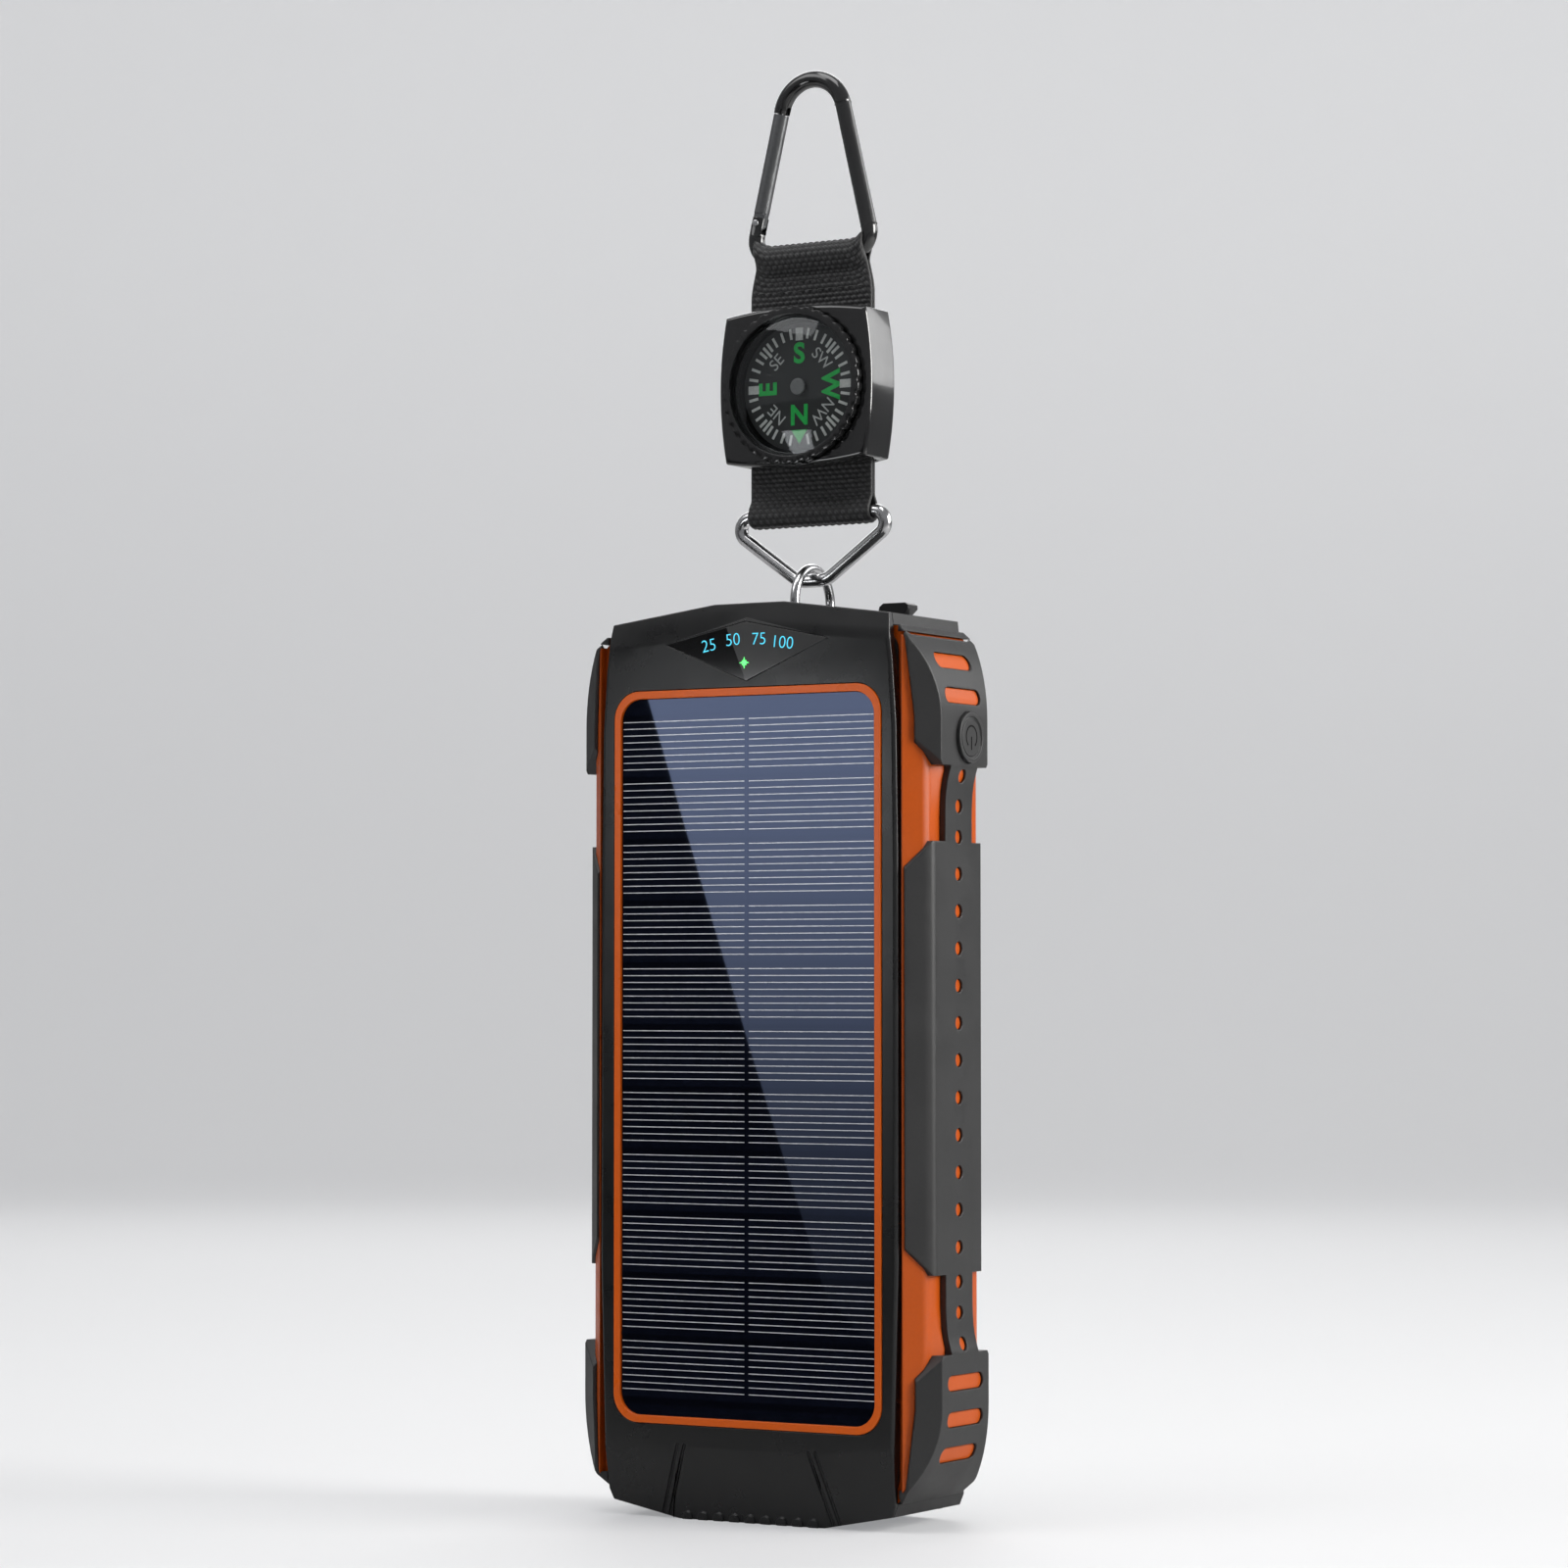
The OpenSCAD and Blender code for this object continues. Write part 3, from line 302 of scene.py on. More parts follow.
def window_material():
    """Smoked window: dark and polished, with a painted reflection that makes the +X half lighter, beyond a
    slanting line.
    """
    slant = 0.42           # sideways run of the dividing line per unit of height
    blur = 0.00008         # half width of the dividing line, metres
    graph = new_graph("smoked_window")
    coords = graph.coords()
    x, _, z = graph.xyz(coords)
    above = graph.calc("SUBTRACT", z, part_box("indicator_lens")[0].z)
    # slanting line that bounds the painted reflection
    line = graph.calc("ADD", x, graph.calc("MULTIPLY", above, slant))
    side = graph.remap(line, source=(-blur, blur))
    fade = graph.remap(x, source=(0.0, 0.016), to=(1.0, 0.55))
    painted_reflection = graph.mix(fade, (0.028, 0.028, 0.029), (0.085, 0.085, 0.086))
    haze = graph.noise(coords, scale=260.0)
    painted_reflection = graph.mix(graph.remap(haze, to=(0.0, 0.12)), painted_reflection, (0.12, 0.12, 0.12))
    return graph.principled({
        # dark smoked colour on the -X side of the line, painted reflection on the +X side
        "Base Color": graph.mix(side, (0.004, 0.004, 0.0045), painted_reflection),
        "Roughness": 0.1, "Coat Weight": 1.0, "Coat Roughness": 0.02,
        "Normal": graph.bump(haze, strength=0.05, microns=5)})


def glow(name, colour, strength, base):
    """Lit figure or lamp with a slightly uneven glow over its base colour."""
    graph = new_graph(name)
    uneven = graph.remap(graph.noise(graph.coords(), scale=700.0, detail=2.0), to=(0.0, 0.25))
    return graph.principled({
        "Emission Color": graph.mix(uneven, colour, scaled(colour, 0.75)),
        "Emission Strength": strength, "Base Color": base, "Roughness": 0.25})


def diffuser_material():
    """Milky light window with a fine prism pattern, brighter over each row of lamps."""
    prism_pitch = 0.0012   # metres, as the two below
    lamp_pitch = 0.005
    first_lamp = 0.0025
    graph = new_graph("light_window")
    x, _, z = graph.xyz(graph.coords())
    prisms = graph.calc("MULTIPLY", graph.wave(x, prism_pitch), graph.wave(z, prism_pitch))
    lamps = graph.wave(graph.calc("SUBTRACT", x, first_lamp), lamp_pitch, "COSINE")
    light = graph.calc("ADD", graph.remap(lamps, source=(-1, 1), to=(0.88, 1.05)),
                       graph.calc("MULTIPLY", prisms, 0.03))
    tint = graph.mix(graph.remap(light, source=(0.85, 1.05)), (0.86, 0.9, 1.0), (1.0, 1.0, 1.0))
    return graph.principled({
        "Emission Color": tint, "Emission Strength": graph.calc("MULTIPLY", light, 1.25),
        "Base Color": tint, "Normal": graph.bump(prisms, strength=0.3, microns=60),
        "Roughness": 0.22, "Coat Weight": 0.5})


def torch_material():
    """Half-clear lens over small facets, with painted shade that darkens each facet away from its centre."""
    graph = new_graph("torch_lens")
    facets = graph.node("TexVoronoi", {"Scale": 1100.0, "Vector": graph.coords()})
    distance = facets.outputs["Distance"]
    return graph.principled({
        # painted shade: the colour darkens away from each facet's centre, as the bump does
        "Base Color": graph.mix(distance, (0.75, 0.78, 0.8), (0.5, 0.53, 0.56)),
        "Normal": graph.bump(distance, strength=0.4, microns=100),
        "Roughness": 0.08, "Coat Weight": 1.0, "Transmission Weight": 0.35})


def clear_lens_material():
    """Thin clear dome: straight through, with a mirror-like sheen that grows to the rim."""
    graph = new_graph("clear_dome")
    smear = graph.noise(graph.coords(), scale=300.0)
    through = graph.node("BsdfTransparent", {
        "Color": graph.mix(smear, (0.97, 0.98, 0.98), (0.93, 0.95, 0.95))})
    mirror = graph.node("BsdfGlossy", {"Color": (0.9, 0.92, 0.94),
                                       "Roughness": graph.remap(smear, to=(0.02, 0.05))})
    fresnel = graph.node("Fresnel", {"IOR": 1.5})
    # only the outer faces mirror
    outer = graph.calc("SUBTRACT", 1.0, graph.node("NewGeometry").outputs["Backfacing"])
    return graph.end(graph.node("MixShader", {
        0: graph.calc("MULTIPLY", fresnel.outputs[0], outer),
        1: through.outputs[0], 2: mirror.outputs[0]}))


def webbing_material():
    """Coarse nylon: near-black yarn with fine filaments, with painted shade: paler on the yarn crowns, darker
    between them and on the band's inner side.
    """
    graph = new_graph("webbing_yarn")
    coords = graph.coords()
    crown_shade = graph.node("Attribute", attribute_name="crown_shade").outputs["Fac"]
    filaments = graph.node("TexWave", wave_type="BANDS", bands_direction="DIAGONAL", sockets={
        "Scale": 900.0, "Distortion": 2.5, "Detail": 2.0, "Vector": coords}).outputs["Fac"]
    mottle = graph.noise(coords, scale=600.0)
    # painted shade: low points of the weave and the inner side come out darker, the crowns paler
    tone = graph.calc("MULTIPLY", graph.calc("POWER", crown_shade, 1.6),
                      graph.remap(mottle, to=(0.5, 1.25)))
    tone = graph.calc("MULTIPLY", tone, graph.remap(filaments, source=(0, 1), to=(0.55, 1.2)),
                      clamped=True)
    return graph.principled({
        "Base Color": graph.mix(tone, (0.0045, 0.0045, 0.005), (0.075, 0.075, 0.077)),
        "Normal": graph.bump(filaments, strength=0.5, microns=30),
        "Roughness": 0.55, "Sheen Weight": 0.25, "Sheen Roughness": 0.4})


def print_material(name, colour, rough=0.5):
    """Matt ink."""
    graph = new_graph(name)
    mottle = graph.noise(graph.coords(), scale=2200.0)
    ink = graph.mix(graph.remap(mottle), scaled(colour, 0.85), scaled(colour, 1.05))
    return graph.principled({
        "Base Color": ink, "Normal": graph.bump(mottle, strength=0.2, microns=8),
        "Specular IOR Level": 0.12, "Roughness": rough})


# Material of each slot
MATERIALS = {
    "front_shell": surface("black_front_shell", (0.0085, 0.0085, 0.009), rough=0.3, grain=4200,
                           grain_depth=6, edge=0.35),
    "back_shell": surface("black_back_shell", (0.013, 0.013, 0.0135), rough=0.38, grain=3600,
                          grain_depth=10, soft=0.22),
    "frame_orange": surface("orange_frame", (0.50, 0.078, 0.003), rough=0.34, grain=4200,
                            grain_depth=6, drift=0.05, edge=0.12, specular=0.35, soft=0.32),
    "trim_orange": surface("orange_trim", (0.86, 0.135, 0.004), rough=0.32, grain=4200,
                           grain_depth=4, drift=0.04, edge=0.12, specular=0.35),
    "guard_rubber": surface("guard_rubber", (0.021, 0.021, 0.0215), rough=0.42, grain_depth=10,
                            drift=0.1, edge=0.35, soft=0.38),
    "button_rubber": surface("button_rubber", (0.024, 0.024, 0.0245), rough=0.42,
                             grain_depth=10, edge=0.35),
    "flap_rubber": surface("flap_rubber", (0.024, 0.024, 0.025), rough=0.5, grain=5000,
                           sheen=0.06, edge=0.3),
    "gloss_black": surface("gloss_black", (0.012, 0.012, 0.013), rough=0.12, grain=3000,
                           grain_depth=2, coat=0.6, coat_rough=0.03, edge=0.2),
    "loop_black": surface("loop_black", (0.014, 0.014, 0.015), rough=0.2, grain=3000,
                          grain_depth=3, coat=0.6, edge=0.3, soft=0.35),
    "compass_black": surface("compass_black", (0.012, 0.012, 0.0125), rough=0.13, grain=2400,
                             grain_depth=2.5, coat=0.7, coat_rough=0.04, edge=0.15),
    "bezel_black": surface("bezel_black", (0.011, 0.011, 0.0115), rough=0.2, grain=3000,
                           grain_depth=3, coat=0.5, coat_rough=0.08, edge=0.3),
    "card_black": surface("card_black", (0.013, 0.013, 0.0135), rough=0.5, grain=6000,
                          grain_depth=4, edge=0.0),
    "clip_black": surface("clip_black", (0.013, 0.013, 0.0135), rough=0.16, grain=2600,
                          grain_depth=3, coat=0.7, edge=0.0, scratches=0.06),
    "gate_grey": surface("gate_grey", (0.24, 0.245, 0.25), rough=0.3, metallic=1.0, grain=2600,
                         grain_depth=4, scratches=0.35, edge=0.0),
    "ring_steel": surface("ring_steel", (0.6, 0.6, 0.61), rough=0.2, metallic=1.0, grain=2600,
                          grain_depth=4, scratches=0.2, edge=0.0),
    "pin_steel": surface("pin_steel", (0.55, 0.55, 0.56), rough=0.25, metallic=1.0,
                         scratches=0.2, edge=0.0),
    "pivot_steel": surface("pivot_grey", (0.2, 0.2, 0.2), rough=0.35, metallic=0.3, edge=0.0),
    "screw_steel": surface("screw_steel", (0.12, 0.12, 0.125), rough=0.35, metallic=1.0,
                           scratches=0.3, edge=0.2),
    "socket_steel": surface("socket_steel", (0.6, 0.6, 0.62), rough=0.28, metallic=1.0,
                            scratches=0.4, edge=0.0),
    "switch_steel": surface("switch_steel", (0.55, 0.55, 0.56), rough=0.3, metallic=1.0,
                            scratches=0.4, edge=0.0),
    "cell_foil": surface("cell_foil", (0.62, 0.63, 0.66), rough=0.35, metallic=0.9, grain=900,
                         grain_depth=40, scratches=0.2, edge=0.0),
    "foam_grey": surface("foam_grey", (0.06, 0.06, 0.065), rough=0.9, grain=2200,
                         grain_depth=80, grain_strength=0.8, edge=0.0),
    "chip_black": surface("chip_black", (0.018, 0.018, 0.02), rough=0.55, grain=5000, edge=0.0),
    "seal_black": surface("seal_black", (0.015, 0.015, 0.015), rough=0.5, edge=0.0),
    "led_board_white": surface("led_board_white", (0.75, 0.75, 0.72), rough=0.4, edge=0.0),
    "ferrite_grey": surface("ferrite_grey", (0.05, 0.05, 0.055), rough=0.7, edge=0.0),
    "board_green": board_material(),
    "copper_coil": coil_material(),
    "solar_cells": solar_material(),
    "silver_print": finger_material(),
    "smoked_window": window_material(),
    "digit_glow": glow("digit_glow", (0.08, 0.62, 0.85), strength=1.3, base=(0.02, 0.1, 0.13)),
    "led_green": glow("led_green", (0.1, 0.95, 0.16), strength=2.2, base=(0.02, 0.3, 0.05)),
    "diffuser_white": diffuser_material(),
    "torch_clear": torch_material(),
    "lens_clear": clear_lens_material(),
    "webbing_black": webbing_material(),
    "thread": surface("sewing_thread", (0.035, 0.035, 0.036), rough=0.6, grain=4000,
                      grain_depth=40, sheen=0.2, edge=0.0),
    "print_white": print_material("print_white", (0.62, 0.62, 0.6)),
    "print_grey": print_material("print_grey", (0.5, 0.5, 0.49)),
    "print_green": print_material("print_green", (0.03, 0.5, 0.1)),
    "print_dark": print_material("print_dark", (0.002, 0.002, 0.002), rough=0.7),
}


# ------------------------------------------------------------------ CAD pieces

def smooth_group():
    """Geometry nodes that shade smooth and keep edges sharper than an angle."""
    group = bpy.data.node_groups.new("smooth_by_angle", "GeometryNodeTree")
    for direction in ("INPUT", "OUTPUT"):
        group.interface.new_socket("Geometry", in_out=direction,
                                   socket_type="NodeSocketGeometry")
    source = group.nodes.new("NodeGroupInput")
    result = group.nodes.new("NodeGroupOutput")
    angle = group.nodes.new("GeometryNodeInputMeshEdgeAngle")
    gentle = group.nodes.new("FunctionNodeCompare")
    gentle.data_type = "FLOAT"
    gentle.operation = "LESS_EQUAL"
    gentle.inputs[1].default_value = math.radians(38)
    faces = group.nodes.new("GeometryNodeSetShadeSmooth")
    edges = group.nodes.new("GeometryNodeSetShadeSmooth")
    edges.domain = "EDGE"
    group.links.new(angle.outputs[0], gentle.inputs[0])
    group.links.new(source.outputs[0], faces.inputs[0])
    group.links.new(faces.outputs[0], edges.inputs[0])
    group.links.new(gentle.outputs[0], edges.inputs["Shade Smooth"])
    group.links.new(edges.outputs[0], result.inputs[0])
    return group


SMOOTH = smooth_group()


def clear_normals(piece):
    """Drops the normals stored in the CAD mesh."""
    if piece.data.has_custom_normals:
        with bpy.context.temp_override(object=piece, active_object=piece,
                                       selected_objects=[piece]):
            bpy.context.view_layer.objects.active = piece
            bpy.ops.mesh.customdata_custom_splitnormals_clear()


def finish(piece, bevel, segments, cad=True, dissolve=True):
    """Rounds the edges by bevel mm and shades the piece smooth, all as modifiers."""
    if cad:
        clear_normals(piece)
        piece.modifiers.new("weld", "WELD").merge_threshold = 2e-6
    if dissolve:
        planar = piece.modifiers.new("planar", "DECIMATE")
        planar.decimate_type = "DISSOLVE"
        planar.angle_limit = math.radians(0.6)
    if bevel > 0:
        edges = piece.modifiers.new("edges", "BEVEL")
        edges.width = bevel * MM
        edges.segments = segments
        edges.limit_method = "ANGLE"
        edges.angle_limit = math.radians(28)
        edges.use_clamp_overlap = False
        edges.miter_outer = "MITER_ARC"
        edges.harden_normals = False
    piece.modifiers.new("smooth", "NODES").node_group = SMOOTH
    weighted = piece.modifiers.new("weighted", "WEIGHTED_NORMAL")
    weighted.keep_sharp = True
    weighted.weight = 60


def paint(mesh, material):
    mesh.materials.clear()
    mesh.materials.append(material)
    for face in mesh.polygons:
        face.material_index = 0


# Edge rounding of the CAD pieces: width in mm, segments. Pieces not listed keep their edges.
EDGES = {
    "front_cover": (0.22, 3), "solar_trim_ring": (0.14, 3), "indicator_lens": (0.08, 2),
    "power_button": (0.16, 3), "light_diffuser": (0.3, 3), "pad_ring": (0.3, 4),
    "pad_disc": (0.12, 3), "port_cover": (0.25, 3), "torch_lights": (0.15, 3),
    "compass_housing": (0.75, 5), "compass_capsule": (0.12, 2), "compass_bezel": (0.12, 2),
    "compass_card": (0.05, 2), "compass_pivot": (0.18, 3), "compass_lens": (0.12, 3),
    "carabiner_body": (0.1, 2), "carabiner_gate": (0.12, 2), "gate_pin": (0.15, 3),
    "case_screws": (0.12, 2), "board_screws": (0.1, 2), "battery_cells": (0.8, 3),
    "usb_a_sockets": (0.1, 2), "usb_c_socket": (0.1, 2), "solar_panel": (0.05, 2),
    "board_chips": (0.08, 1), "power_switch": (0.1, 2), "battery_pads": (0.1, 2),
}
# faces with holes must stay triangulated under a bevel, or the holes close up
KEEP_TRIANGLES = {"compass_housing", "compass_bezel", "carabiner_gate", "back_cover",
                  "lanyard_loop"}
slot_of = {part["node"]: part["material_slot"] for part in frame["record"]["subparts"]}
for name, node in frame["nodes"].items():
    paint(node.data, MATERIALS[slot_of[name]])
    width, segments = EDGES.get(name, (0.0, 1))
    finish(node, width, segments, dissolve=name not in KEEP_TRIANGLES)


# ------------------------------------------------------------------ mesh helpers

def link_object(name, data):
    made = bpy.data.objects.new(name, data)
    bpy.context.scene.collection.objects.link(made)
    return made


def mesh_from_mm(name, points, faces):
    mesh = bpy.data.meshes.new(name)
    mesh.from_pydata([(x * MM, y * MM, z * MM) for x, y, z in points], [], faces)
    return mesh


def face_outward(mesh):
    work = bmesh.new()
    work.from_mesh(mesh)
    bmesh.ops.recalc_face_normals(work, faces=work.faces)
    work.to_mesh(mesh)
    work.free()


class Solids:
    """Points in mm and faces, gathered into one object."""

    def __init__(self):
        self.points = []
        self.faces = []

    def prism(self, outline, start, end, along="y"):
        """Adds a prism between two depths. outline is (x, z), or (y, z) for a prism along x."""
        base = len(self.points)
        count = len(outline)
        for depth in (start, end):
            self.points += [(u, depth, z) if along == "y" else (depth, u, z) for u, z in outline]
        self.faces.append([base + i for i in range(count)])
        self.faces.append([base + count + i for i in reversed(range(count))])
        for i in range(count):
            j = (i + 1) % count
            self.faces.append([base + i, base + count + i, base + count + j, base + j])

    def build(self, name, material, body):
        mesh = mesh_from_mm(name, self.points, self.faces)
        mesh.validate()
        mesh.materials.append(MATERIALS[material])
        mesh.update()
        face_outward(mesh)
        made = link_object(name, mesh)
        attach(made, body)
        return made


def rectangle(left, right, low, high):
    return [(left, low), (right, low), (right, high), (left, high)]


def text_piece(name, text, place, size, turn, thickness, bold, material, body):
    """Raised figures on a face that looks towards -Y, centred at place, turned by degrees."""
    curve = bpy.data.curves.new(name, "FONT")
    curve.body = text
    curve.size = size * MM
    curve.align_x = "CENTER"
    curve.align_y = "CENTER"
    curve.extrude = thickness * MM / 2
    curve.offset = bold * MM
    curve.resolution_u = 6
    draft = link_object(name + "_tmp", curve)
    bpy.context.view_layer.update()
    evaluated = draft.evaluated_get(bpy.context.evaluated_depsgraph_get())
    mesh = bpy.data.meshes.new_from_object(evaluated)
    bpy.data.objects.remove(draft)
    xs = [v.co.x for v in mesh.vertices]
    ys = [v.co.y for v in mesh.vertices]
    middle = ((min(xs) + max(xs)) / 2, (min(ys) + max(ys)) / 2)
    mesh.transform(Matrix.Translation((-middle[0], -middle[1], 0)))
    mesh.transform(Matrix.Translation([c * MM for c in place])
                   @ Matrix.Rotation(math.radians(90), 4, "X")
                   @ Matrix.Rotation(math.radians(turn), 4, "Z"))
    paint(mesh, MATERIALS[material])
    mesh.name = name
    made = link_object(name, mesh)
    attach(made, body)


# ------------------------------------------------------------------ solar panel lines

FINGER_PITCH = 1.2
FINGERS_PER_STRIP = 8
FINGER_HALF_WIDTH = 0.075
FINGER_SIDE_GAP = 0.25     # from the panel's sides
FINGER_MIDDLE_GAP = 0.45   # from the centre line
TOP_FINGER_DROP = 4.0      # top finger below the panel's top
LOWEST_STRIP = 3.0         # strips start above this height on the panel
LOWEST_FINGER = 3.4        # and fingers above this one
BUS_HALF_WIDTH = 0.28
BUS_END_GAP = 1.2

panel_low, panel_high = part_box("solar_panel")
panel_left, panel_right = panel_low.x / MM, panel_high.x / MM
panel_bottom, panel_top = panel_low.z / MM, panel_high.z / MM
panel_face = panel_low.y / MM


def solar_fingers():
    """Thin silver lines across the cells, each in a left and a right half."""
    halves = ((panel_left + FINGER_SIDE_GAP, -FINGER_MIDDLE_GAP),
              (FINGER_MIDDLE_GAP, panel_right - FINGER_SIDE_GAP))
    solids = Solids()
    top_finger = panel_top - TOP_FINGER_DROP
    strip = 0
    while top_finger - strip * CELL_PITCH > panel_bottom + LOWEST_STRIP:
        for i in range(FINGERS_PER_STRIP):
            z = top_finger - strip * CELL_PITCH - i * FINGER_PITCH
            if z < panel_bottom + LOWEST_FINGER:
                continue
            for left, right in halves:
                outline = rectangle(left, right, z - FINGER_HALF_WIDTH, z + FINGER_HALF_WIDTH)
                solids.prism(outline, panel_face - 0.02, panel_face + 0.02)
        strip += 1
    solids.build("solar_fingers", "silver_print", "case")


def solar_bus():
    """Thin strip down the middle of the cells."""
    solids = Solids()
    solids.prism(rectangle(-BUS_HALF_WIDTH, BUS_HALF_WIDTH,
                           panel_bottom + BUS_END_GAP, panel_top - BUS_END_GAP),
                 panel_face - 0.012, panel_face + 0.02)
    solids.build("solar_bus", "solar_cells", "case")


solar_fingers()
solar_bus()

# ------------------------------------------------------------------ indicator figures and lamp

# text, x, z, turn in degrees
FIGURES = (("25", -7.6, 152.75, 9), ("50", -2.6, 153.6, 4), ("75", 2.7, 153.55, 0),
           ("100", 7.75, 152.75, -7))
LAMP_X, LAMP_Z = -0.3, 149.45
LAMP_RADII = (1.05, 0.4, 0.62, 0.4)   # repeated round the star


def charge_lamp():
    """Star with 16 corners."""
    outline = []
    for i in range(16):
        radius = LAMP_RADII[i % 4]
        angle = i * math.pi / 8
        outline.append((LAMP_X + radius * math.cos(angle), LAMP_Z + radius * math.sin(angle)))
    solids = Solids()
    solids.prism(outline, FRONT - 0.05, FRONT + 0.02)
    solids.build("charge_lamp", "led_green", "case")


for text, x, z, turn in FIGURES:
    text_piece("figure_" + text, text, (x, FRONT - 0.035, z), size=3.1, turn=turn,
               thickness=0.03, bold=-0.045, material="digit_glow", body="case")
charge_lamp()

# ------------------------------------------------------------------ power symbol on the button

SYMBOL_INNER, SYMBOL_OUTER = 1.74, 2.06
SYMBOL_RISE = 0.12         # ring centre above the button's centre
SYMBOL_STEPS = 40
SYMBOL_HALF_GAP = 38       # degrees, either side of straight down


def power_symbol():
    """A ring open at the bottom, with a bar through the gap."""
    low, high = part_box("power_button")
    face = high.x / MM - 0.15
    start, end = face - 0.03, face + 0.02
    middle_y = (low.y + high.y) / 2 / MM
    middle_z = (low.z + high.z) / 2 / MM

    def ring_angle(step):
        sweep = 360 - 2 * SYMBOL_HALF_GAP
        return math.radians(-90 + SYMBOL_HALF_GAP + step * sweep / SYMBOL_STEPS)

    solids = Solids()
    for i in range(SYMBOL_STEPS):
        first, second = ring_angle(i), ring_angle(i + 1)
        corners = ((SYMBOL_INNER, first), (SYMBOL_OUTER, first),
                   (SYMBOL_OUTER, second), (SYMBOL_INNER, second))
        solids.prism([(middle_y + radius * math.cos(angle),
                       middle_z + SYMBOL_RISE + radius * math.sin(angle))
                      for radius, angle in corners], start, end, along="x")
    solids.prism(rectangle(middle_y - 0.17, middle_y + 0.17, middle_z - 2.15, middle_z + 0.15),
                 start, end, along="x")
    solids.build("power_symbol", "print_dark", "button")


power_symbol()

# ------------------------------------------------------------------ grip ribs on the back

# Outline of the upper panel: z, half width
UPPER = ((105.6, 15.6), (125, 28.4), (136, 28.3), (148, 27.5), (155.6, 26.5))
ROUND_Z = 93               # centre of the round areas that the ribs stay clear of
RIB_ANGLE = 25             # degrees from level
RIB_BASE, RIB_TOP = 0.78, 0.46
RIB_PITCH = 1.32
RIB_START = 0.12           # from the centre line
RIB_PROBE = 0.08           # step along a rib when looking for its ends
RIB_SHORTEST = 0.8
RIB_SKEW = 2.5             # most that a rib's edges may differ from its middle


def half_width(table, z):
    """Half width at height z from a table of (z, half width)."""
    if z <= table[0][0]:
        return table[0][1]
    for (z_low, low), (z_high, high) in zip(table, table[1:]):
        if z <= z_high:
            return low + (high - low) * (z - z_low) / (z_high - z_low)
    return table[-1][1]


def in_upper(x, z):
    if z > 155.35 or (x < 15.85 and z > 148.85):
        return False
    if z < 125 and x > 15.35 + (z - 105.6) * 12.8 / 19.4 - 0.3:
        return False
    return x < half_width(UPPER, z) - 0.25 and math.hypot(x, z - ROUND_Z) > 22.2


def in_lower(x, z):
    if z < 51.05 + 3.3 * (1 - min(1, x / 24.2)) or x > 24.2 - (z - 50.8) * 8.6 / 18.4 - 0.25:
        return False
    return math.hypot(x, z - ROUND_Z) > 26.9


def rib_spans(inside, z, slope):
    """Stretches of x inside the panel, along a line that starts at height z."""
    spans = []
    run = []
    x = RIB_START
    while x < 31:
        if inside(x, z + slope * x):
            run.append(x)
        elif run:
            spans.append((run[0], run[-1]))
            run = []
        x += RIB_PROBE
    if run:
        spans.append((run[0], run[-1]))
    return spans


def matching_span(spans, pick, middle):
    """The picked span that overlaps the rib's middle line, or the middle's own ends."""
    overlaps = [span for span in spans if span[0] < middle[1] and span[1] > middle[0]]
    span = overlaps[pick] if overlaps else middle
    if abs(span[0] - middle[0]) > RIB_SKEW or abs(span[1] - middle[1]) > RIB_SKEW:
        return middle
    return span


def ribs(name, inside, direction, z_low, z_high):
    """Chevron ribs whose ends follow the panel's outline. Away from the centre line they
    rise where direction is 1 and fall where it is -1."""
    slope = math.tan(math.radians(RIB_ANGLE)) * direction
    # half width, y and inset of the ends, at the rib's foot and at its top
    levels = ((RIB_BASE / 2, BACK - 0.5, 0.0),
              (RIB_TOP / 2, BACK - 0.03, (RIB_BASE - RIB_TOP) / 2))
    solids = Solids()
    z = z_low - 20
    while z < z_high + 20:
        low_spans = rib_spans(inside, z - RIB_BASE / 2, slope)
        high_spans = rib_spans(inside, z + RIB_BASE / 2, slope)
        middles = [span for span in rib_spans(inside, z, slope)
                   if span[1] - span[0] >= RIB_SHORTEST]
        for side in (-1, 1):
            for middle in middles:
                low = matching_span(low_spans, 0, middle)
                high = matching_span(high_spans, -1, middle)
                base = len(solids.points)
                for half, y, inset in levels:
                    for (start, end), shift in ((low, -half), (high, half)):
                        # ends at the centre line meet their mirror image, so stay put
                        ends = (start + (0.0 if start < 0.3 else inset), end - inset)
                        solids.points += [(side * x, y, z + shift + slope * x) for x in ends]
                for corners in ((0, 1, 3, 2), (4, 5, 7, 6), (0, 1, 5, 4),
                                (2, 3, 7, 6), (0, 2, 6, 4), (1, 3, 7, 5)):
                    solids.faces.append([base + corner for corner in corners])
        z += RIB_PITCH
    made = solids.build(name, "back_shell", "case")
    finish(made, bevel=0.07, segments=2, cad=False, dissolve=False)


ribs("grip_ribs_upper", in_upper, direction=-1, z_low=100, z_high=158)
ribs("grip_ribs_lower", in_lower, direction=1, z_low=42, z_high=75)

# ------------------------------------------------------------------ compass dial

DIAL_X, _, DIAL_Z = centre("compass_card")
DIAL_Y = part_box("compass_card")[0].y / MM - 0.012
TICK_OUTER = 10.6
# Ticks of one quarter of the dial: angle in degrees, inner radius, width
TICKS = ((0, 8.35, 1.5),
         (10.6, 8.7, 0.5), (21.0, 8.7, 0.5), (31.4, 8.7, 0.5),
         (58.6, 8.7, 0.5), (69.0, 8.7, 0.5), (79.4, 8.7, 0.5),
         (39.4, 8.7, 0.52), (50.6, 8.7, 0.52), (45, 8.1, 0.52))
# Letters: text, angle in degrees from +X, radius, turn in degrees
MAIN_LETTERS = (("S", 90, 6.1, 0), ("N", 270, 5.0, 0), ("E", 180, 6.55, 90), ("W", 0, 6.5, -90))
DIAGONAL_LETTERS = tuple((text, angle, 6.7, angle - 90) for text, angle in
                         (("SE", 135), ("SW", 45), ("NE", 225), ("NW", 315)))


